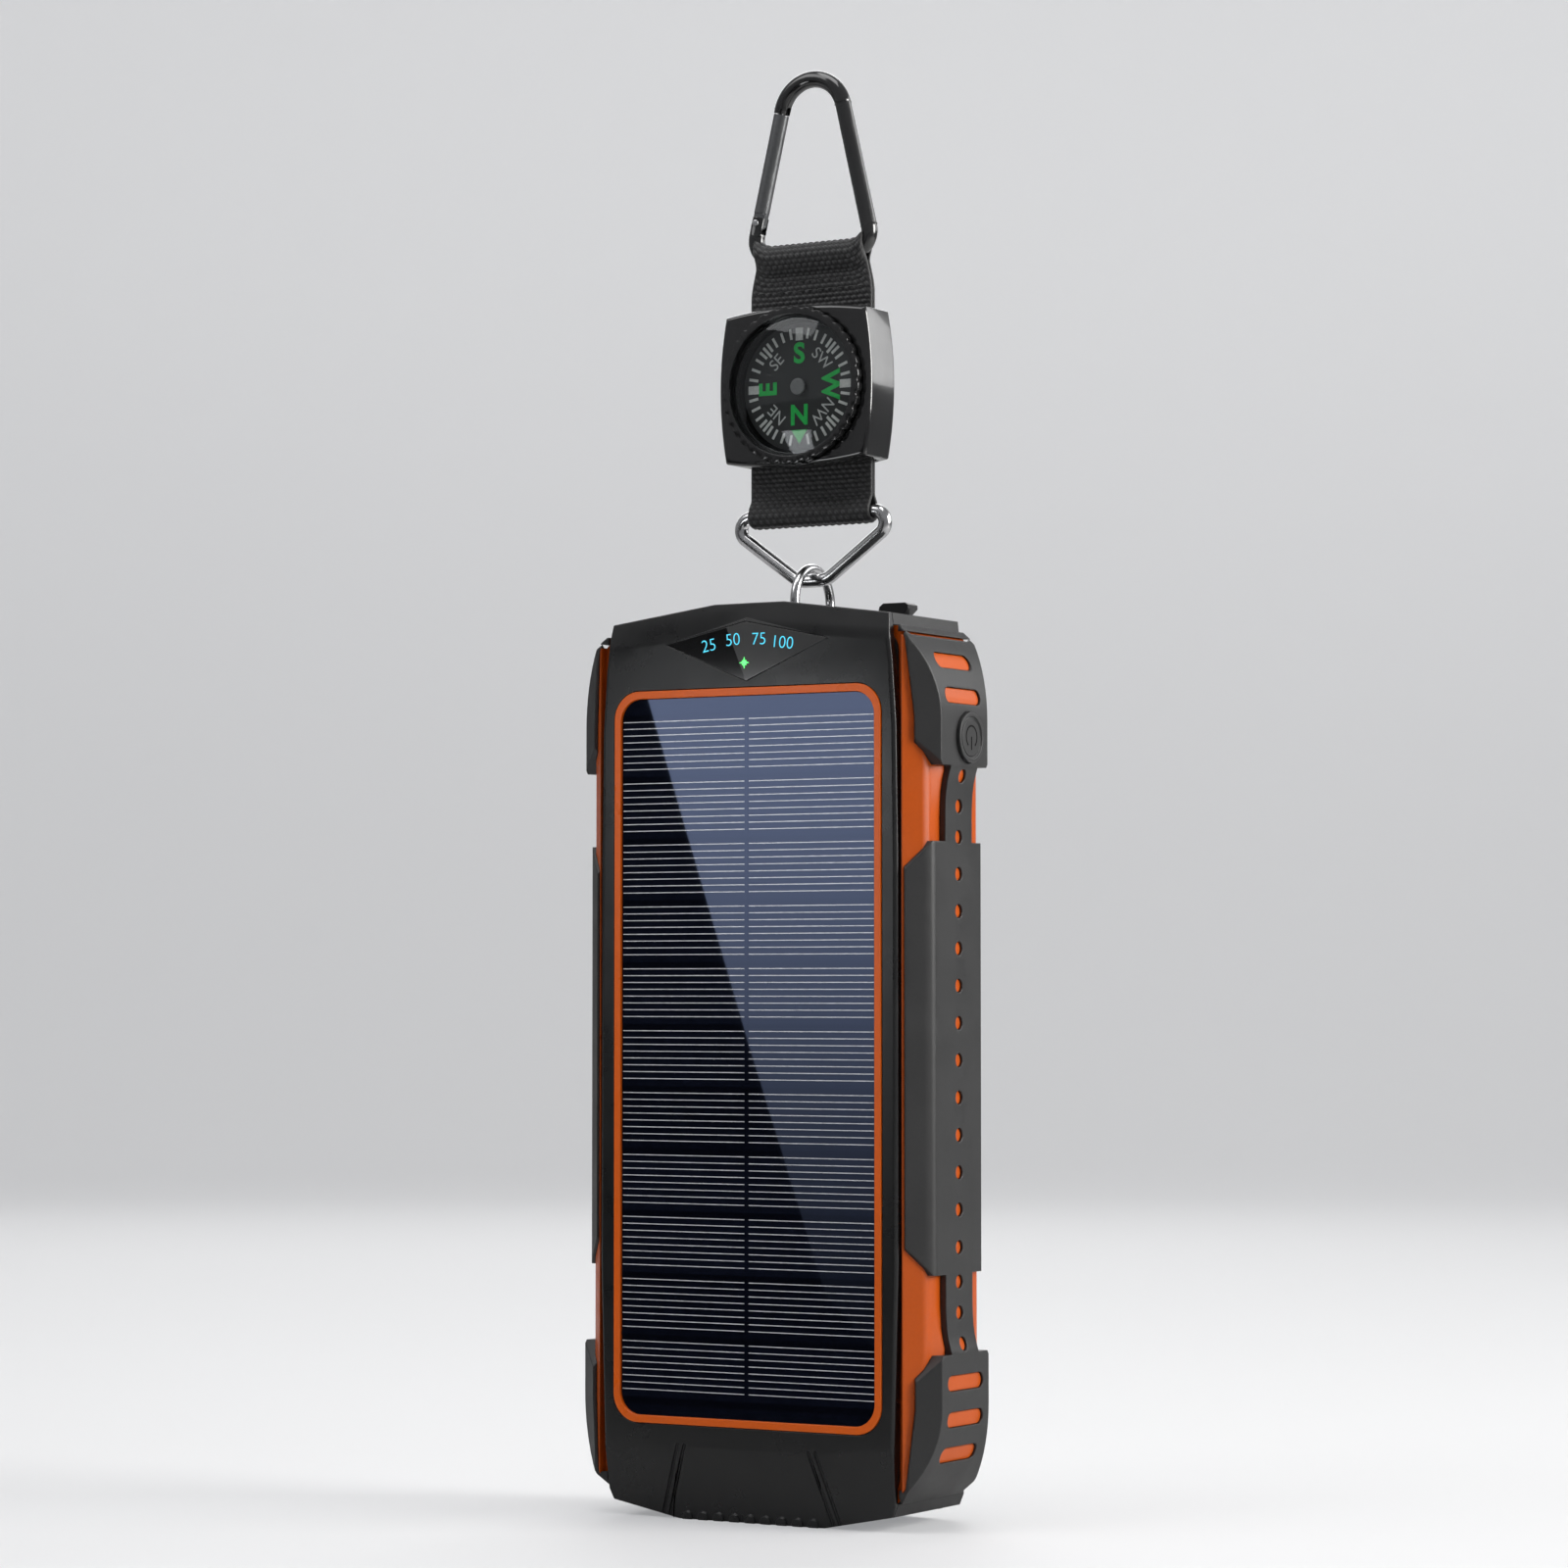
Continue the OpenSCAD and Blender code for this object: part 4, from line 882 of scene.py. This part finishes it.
def dial_ticks():
    solids = Solids()
    for quarter in range(4):
        for offset, inner, width in TICKS:
            if quarter == 3 and offset == 0:
                continue   # the north mark stands here
            angle = math.radians(quarter * 90 + offset)
            cos, sin = math.cos(angle), math.sin(angle)
            outline = rectangle(inner, TICK_OUTER, -width / 2, width / 2)
            solids.prism([(DIAL_X + cos * u - sin * v, DIAL_Z + sin * u + cos * v)
                          for u, v in outline], DIAL_Y - 0.02, DIAL_Y + 0.02)
    solids.build("dial_ticks", "print_white", "card")


def north_mark():
    """Triangle that points down."""
    solids = Solids()
    solids.prism([(DIAL_X - 1.6, DIAL_Z - 7.7), (DIAL_X, DIAL_Z - 10.2),
                  (DIAL_X + 1.6, DIAL_Z - 7.7)], DIAL_Y - 0.02, DIAL_Y + 0.02)
    solids.build("dial_north_mark", "print_green", "card")


def dial_letters(letters, size, bold, material):
    for text, degrees, radius, turn in letters:
        angle = math.radians(degrees)
        place = (DIAL_X + radius * math.cos(angle), DIAL_Y, DIAL_Z + radius * math.sin(angle))
        text_piece("dial_" + text, text, place, size=size, turn=turn, thickness=0.04,
                   bold=bold, material=material, body="card")


dial_ticks()
north_mark()
dial_letters(MAIN_LETTERS, size=5.0, bold=0.16, material="print_green")
dial_letters(DIAGONAL_LETTERS, size=3.0, bold=0.0, material="print_grey")

# ------------------------------------------------------------------ webbing

YARN_ACROSS, YARN_ALONG = 1.38, 0.86   # yarn pitches
ROW_STEP = YARN_ALONG / 4
HALF_BAND = 12.5
THICKNESS = 0.82
LEG_Y = THICKNESS / 2 + 0.03           # centre of each leg from the strap's middle plane
CLIP_BAR_RADIUS = 1.5
RING_BAR_RADIUS = 1.2
LOOP_START, LOOP_END = 218, -38        # degrees round the bar, from the front over the top
LOOP_STEPS = 26
NECK_STEPS = 9
STITCH_ROWS = (0.0, 1.7)
STITCH_PITCH, STITCH_LENGTH = 2.1, 1.5
STITCH_RADIUS = 0.14
STITCH_RINGS, STITCH_SIDES = 7, 6


def web_height(x, distance):
    """Plain weave seen from above: 0 to 1, with crowns in a brick pattern."""
    row = math.floor(distance / YARN_ALONG)
    along = distance / YARN_ALONG - row
    across = x / YARN_ACROSS + (0.5 if row % 2 else 0.0)
    across -= math.floor(across)
    return (max(0.0, math.sin(math.pi * across)) ** 0.6
            * max(0.0, math.sin(math.pi * along)) ** 0.6)


def strap_path(loop_radius, neck, length):
    """Centre line as (y, z) from the bar: up the front leg, round and down the back leg."""
    steps = int((length - neck) / ROW_STEP)
    front = [(-LEG_Y, -length + (length - neck) * i / steps) for i in range(steps + 1)]
    start, end = math.radians(LOOP_START), math.radians(LOOP_END)
    loop_y, loop_z = loop_radius * math.cos(start), loop_radius * math.sin(start)
    for i in range(1, NECK_STEPS):
        share = i / NECK_STEPS
        front.append((-LEG_Y + (loop_y + LEG_Y) * smoothstep(share),
                      -neck + (loop_z + neck) * share))
    angles = [start + (end - start) * i / LOOP_STEPS for i in range(LOOP_STEPS + 1)]
    loop = [(loop_radius * math.cos(angle), loop_radius * math.sin(angle)) for angle in angles]
    return front + loop + [(-y, z) for y, z in reversed(front)]


def evenly_spaced(path):
    """The path as (y, z, distance) at even distances."""
    reached = [0.0]
    for (y0, z0), (y1, z1) in zip(path, path[1:]):
        reached.append(reached[-1] + math.hypot(y1 - y0, z1 - z0))
    total = reached[-1]
    rows = int(total / ROW_STEP)
    line = []
    j = 0
    for i in range(rows + 1):
        distance = total * i / rows
        while j < len(reached) - 2 and reached[j + 1] < distance:
            j += 1
        share = (distance - reached[j]) / max(1e-9, reached[j + 1] - reached[j])
        (y0, z0), (y1, z1) = path[j:j + 2]
        line.append((y0 + (y1 - y0) * share, z0 + (z1 - z0) * share, distance))
    return line


def band_points(line, columns, loop_radius, lift, taper):
    """Points and crown values, which set the webbing's painted shade: per row of the line, the woven outer side,
    then the inner.
    """
    points, crowns = [], []
    for i, (y, z, distance) in enumerate(line):
        before, after = line[max(0, i - 1)], line[min(len(line) - 1, i + 1)]
        run_y, run_z = after[0] - before[0], after[1] - before[1]
        length = math.hypot(run_y, run_z)
        out_y, out_z = -run_z / length, run_y / length
        lift_share = clamp(1.0 - (-z - loop_radius) / 6.0)
        for outer in (True, False):
            for k in range(columns + 1):
                flat_x = -HALF_BAND + 2 * HALF_BAND * k / columns
                x = flat_x * taper(z)
                if outer:
                    height = web_height(flat_x, distance)
                    selvedge = min(1.0, (HALF_BAND - abs(flat_x)) / 0.5)
                    offset = (THICKNESS / 2 - 0.12 + 0.3 * height * selvedge
                              - 0.1 * (1 - selvedge))
                    crowns.append(height * selvedge)
                else:
                    offset = -THICKNESS / 2 + 0.1
                    # a low value paints the inner side in shade
                    crowns.append(0.1)
                points.append((x, y + out_y * offset, z + out_z * offset + lift(x) * lift_share))
    return points, crowns


def band_faces(rows, columns):
    """Outer and inner sides, the two long edges and the two ends."""
    width = columns + 1
    faces = []
    for i in range(rows - 1):
        a = i * 2 * width
        b = a + 2 * width
        for k in range(columns):
            faces.append([a + k, a + k + 1, b + k + 1, b + k])
            faces.append([a + width + k + 1, a + width + k, b + width + k, b + width + k + 1])
        faces.append([a, b, b + width, a + width])
        faces.append([a + columns, a + width + columns, b + width + columns, b + columns])
    last = (rows - 1) * 2 * width
    for k in range(columns):
        faces.append([k + 1, k, width + k, width + k + 1])
        faces.append([last + k, last + k + 1, last + width + k + 1, last + width + k])
    return faces


def stitch_points(x_start, z, side, taper):
    """A bowed thread on the front (side -1) or back (side 1) of the band."""
    points = []
    for ring in range(STITCH_RINGS):
        share = ring / (STITCH_RINGS - 1)
        bow = math.sin(math.pi * share)
        x = (x_start + STITCH_LENGTH * share) * taper(z)
        y = side * (LEG_Y + THICKNESS / 2 + 0.16 * bow)
        radius = STITCH_RADIUS * (0.5 + 0.5 * bow)
        for corner in range(STITCH_SIDES):
            angle = 2 * math.pi * corner / STITCH_SIDES
            points.append((x, y + radius * math.cos(angle), z + radius * math.sin(angle)))
    return points


def stitch_faces(base):
    faces = []
    for ring in range(STITCH_RINGS - 1):
        a = base + ring * STITCH_SIDES
        b = a + STITCH_SIDES
        for k in range(STITCH_SIDES):
            after = (k + 1) % STITCH_SIDES
            faces.append([a + k, a + after, b + after, b + k])
    last = base + (STITCH_RINGS - 1) * STITCH_SIDES
    faces.append([base + k for k in range(STITCH_SIDES)])
    faces.append([last + k for k in reversed(range(STITCH_SIDES))])
    return faces


def webbing(name, bar, bar_radius, end_z, lift, taper):
    """One end of the strap: a band from inside the compass housing round a bar and back,
    sewn to itself. It is drawn hanging from a bar at the origin, then placed, upside down
    for the lower end. lift(x) shifts the band towards the bar's far side; taper(z) is the
    share of its full width."""
    up = 1.0 if bar[2] > end_z else -1.0
    loop_radius = bar_radius + THICKNESS / 2 + 0.1
    neck = loop_radius * 1.75   # below this the legs lie close together
    line = evenly_spaced(strap_path(loop_radius, neck, abs(bar[2] - end_z)))
    columns = int(2 * HALF_BAND / (YARN_ACROSS / 5))
    points, crowns = band_points(line, columns, loop_radius, lift, taper)
    faces = band_faces(len(line), columns)
    material_index = [0] * len(faces)
    for row in STITCH_ROWS:
        x = -HALF_BAND + 1.4
        while x < HALF_BAND - 2.4:
            for side in (-1, 1):
                faces += stitch_faces(len(points))
                points += stitch_points(x, -neck - 1.0 - row, side, taper)
            x += STITCH_PITCH
    # the stitches get a middling painted shade
    crowns += [0.5] * (len(points) - len(crowns))
    material_index += [1] * (len(faces) - len(material_index))

    placed = [(x, bar[1] + y, bar[2] + up * z) for x, y, z in points]
    mesh = mesh_from_mm(name, placed, faces)
    mesh.attributes.new("crown_shade", "FLOAT", "POINT").data.foreach_set("value", crowns)
    mesh.materials.append(MATERIALS["webbing_black"])
    mesh.materials.append(MATERIALS["thread"])
    mesh.polygons.foreach_set("material_index", material_index)
    mesh.polygons.foreach_set("use_smooth", [True] * len(mesh.polygons))
    mesh.update()
    face_outward(mesh)
    made = link_object(name, mesh)
    return made


def clip_lift(x):
    """The carabiner's bar is straight for 8 mm either side, then curves upwards."""
    bend = 3.75
    past = max(0.0, min(abs(x) - 8, 3.3))
    return bend - math.sqrt(bend ** 2 - past * past)


def upper_taper(z):
    """Narrows by a tenth towards the carabiner's bar."""
    return 1.0 - 0.1 * smoothstep(clamp((z + 7.5) / 6.0))


joints = {joint["name"]: joint for joint in frame["joints"]}
clip_bar = [c / MM for c in joints["carabiner_swing"]["pos_m"]]
ring_bar = [c / MM for c in joints["strap_swing"]["pos_m"]]
upper = webbing("webbing_upper", clip_bar, CLIP_BAR_RADIUS, DIAL_Z, clip_lift, upper_taper)
lower = webbing("webbing_lower", ring_bar, RING_BAR_RADIUS, DIAL_Z,
                lift=lambda x: 0.0, taper=lambda z: 1.0)
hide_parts("strap_webbing")
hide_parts("strap_webbing")
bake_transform(upper)
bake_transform(lower)

# ------------------------------------------------------------------ floor and world, in metres

# Azimuths run from the front (-Y) towards +X.
CAMERA_AZIMUTH = math.radians(31.0)
CAMERA_DISTANCE = 0.805
CAMERA = (math.sin(CAMERA_AZIMUTH) * CAMERA_DISTANCE,
          -math.cos(CAMERA_AZIMUTH) * CAMERA_DISTANCE, 0.0927)
SKY = (0.96, 0.97, 1.0)
FLOOR_NEAR, FLOOR_FAR = -9.0, 1.2      # flat part, along the camera's view
SWEEP_RADIUS = 0.9
WALL_TOP = 4.0
FLOOR_HALF_WIDTH = 7.0

scene = bpy.context.scene


def floor_material():
    """Pale floor, darker where it lies flat. Some light of its own keeps it pale in view."""
    graph = new_graph("pale_floor")
    cloud = graph.noise(graph.coords(), scale=3.0, detail=2.0)
    pale = graph.mix(cloud, (0.90, 0.90, 0.90), (0.93, 0.93, 0.93))
    fade = graph.remap(graph.xyz(graph.coords())["Z"], source=(0.0, SWEEP_RADIUS),
                       to=(0.5, 0.95), smooth=True)
    seen = graph.node("LightPath").outputs["Is Camera Ray"]
    return graph.principled({
        "Roughness": 0.6, "Specular IOR Level": 0.15,
        "Base Color": graph.mix(1.0, pale, graph.grey(fade), "MULTIPLY"),
        "Emission Color": SKY, "Emission Strength": graph.calc("MULTIPLY", seen, 0.30)})


def floor():
    """Floor that sweeps up into a wall behind the object, square to the camera."""
    sin, cos = math.sin(CAMERA_AZIMUTH), math.cos(CAMERA_AZIMUTH)
    profile = [(FLOOR_NEAR, 0.0)]
    for degrees in range(0, 91, 6):
        angle = math.radians(degrees)
        profile.append((FLOOR_FAR + SWEEP_RADIUS * math.sin(angle),
                        SWEEP_RADIUS - SWEEP_RADIUS * math.cos(angle)))
    profile.append((FLOOR_FAR + SWEEP_RADIUS, WALL_TOP))
    points = [(-sin * away + cos * side, cos * away + sin * side, z)
              for away, z in profile for side in (-FLOOR_HALF_WIDTH, FLOOR_HALF_WIDTH)]
    faces = [[2 * i, 2 * i + 1, 2 * i + 3, 2 * i + 2] for i in range(len(profile) - 1)]
    mesh = bpy.data.meshes.new("floor")
    mesh.from_pydata(points, [], faces)
    for face in mesh.polygons:
        face.use_smooth = True
    link_object("floor", mesh)
    mesh.materials.append(floor_material())


def studio_world():
    """Dim light on the object, and a bright backdrop where the camera looks past it."""
    scene.world = bpy.data.worlds.new("studio")
    graph = Graph(scene.world, "OutputWorld")
    path = graph.node("LightPath")
    light = graph.node("Background", {"Color": SKY, "Strength": 0.27})
    view = graph.node("Background", {"Color": (1, 1, 1), "Strength": 0.93})
    graph.end(graph.node("MixShader", {
        0: path.outputs["Is Camera Ray"], 1: light.outputs[0], 2: view.outputs[0]}))


floor()
studio_world()

# ------------------------------------------------------------------ lights, in metres and watts

TARGET = Vector((0, 0, 0.100))


def area(name, azimuth, elevation, distance, size, power, colour=(1, 1, 1), target=TARGET):
    """Square light aimed at the target; angles in degrees."""
    light = bpy.data.lights.new(name, "AREA")
    light.shape = "RECTANGLE"
    light.size = size
    light.size_y = size
    light.energy = power
    light.color = colour
    lamp = bpy.data.objects.new(name, light)
    turn, rise = math.radians(azimuth), math.radians(elevation)
    lamp.location = target + Vector((math.sin(turn) * math.cos(rise),
                                     -math.cos(turn) * math.cos(rise),
                                     math.sin(rise))) * distance
    lamp.rotation_euler = (target - lamp.location).to_track_quat("-Z", "Y").to_euler()
    scene.collection.objects.link(lamp)
    return lamp


area("key", azimuth=104, elevation=20, distance=0.9, size=0.42, power=8.0,
     colour=(1, 0.99, 0.97))
area("fill", azimuth=-40, elevation=48, distance=1.1, size=0.6, power=2.6)
area("top", azimuth=10, elevation=80, distance=1.0, size=0.6, power=3.4)
area("back_left", azimuth=215, elevation=30, distance=1.1, size=0.6, power=2.6)
area("back_right", azimuth=140, elevation=25, distance=1.1, size=0.5, power=2.2)
# even light on the backdrop
for azimuth in (150, 205):
    wash = area("wash_%d" % azimuth, azimuth, elevation=60, distance=1.9, size=1.4, power=60.0,
                target=Vector((-1.0, 1.7, 0.5)))
    wash.visible_glossy = False

# ------------------------------------------------------------------ reflection cards, in metres

PANEL_MIRROR_Y = -0.01265
FLAG_Y = -0.165
SHEEN_Y = -0.16
# Patch of the panel that the sheen card fills: x, z in mm
SHEEN_PATCH = ((16.0, 40.0), (0.39, 83.0), (-21.0, 145.2), (27.0, 145.2), (27.0, 30.0))


def card(name, outline, y, colour, heights, shares, strength):
    """Emitting card that only mirrors see. Its light goes from the first to the second of
    the shares between the two heights."""
    mesh = bpy.data.meshes.new(name)
    mesh.from_pydata([(x, y, z) for x, z in outline], [], [list(range(len(outline)))])
    made = link_object(name, mesh)
    graph = new_graph(name)
    gradient = graph.remap(graph.xyz(graph.coords())["Z"], source=heights, to=shares,
                           smooth=True)
    emission = graph.node("Emission", {
        "Color": colour, "Strength": graph.calc("MULTIPLY", gradient, strength)})
    mesh.materials.append(graph.end(emission))
    made.visible_camera = False
    made.visible_diffuse = False
    made.visible_shadow = False
    made.visible_transmission = False


def mirrored(x, z, card_y):
    """Where the camera's view of a point on the panel, once reflected, meets the card."""
    share = (PANEL_MIRROR_Y - card_y) / (PANEL_MIRROR_Y - CAMERA[1])
    return x - (CAMERA[0] - x) * share, z + (z - CAMERA[2]) * share


# dark flag in front of the face, and a slanting sheen on the panel's side of it
card("dark_flag", rectangle(-0.24, 0.05, 0.001, 0.2), FLAG_Y, colour=(0.5, 0.5, 0.5),
     heights=(0.0, 0.2), shares=(0.02, 0.06), strength=1.0)
card("sheen_card", [mirrored(x * MM, z * MM, SHEEN_Y) for x, z in SHEEN_PATCH], SHEEN_Y,
     colour=(0.96, 0.98, 1.0), heights=(0.02, 0.16), shares=(0.02, 1.0), strength=4.6)

# ------------------------------------------------------------------ camera

SENSOR = 36                # mm
HEIGHT_IN_VIEW = 0.93      # the object's height as a share of the view's width

height = cad_bounds[1][2]
camera_data = bpy.data.cameras.new("camera")
camera = link_object("camera", camera_data)
camera.location = CAMERA
camera.rotation_euler = (
    math.radians(90) + math.atan((height / 2 - CAMERA[2]) / CAMERA_DISTANCE), 0, CAMERA_AZIMUTH)
camera_data.sensor_width = SENSOR
camera_data.lens = SENSOR * HEIGHT_IN_VIEW * CAMERA_DISTANCE / height
camera_data.clip_start = 0.01
camera_data.clip_end = 50
scene.camera = camera
scene.view_settings.view_transform = "Standard"
scene.view_settings.look = "None"
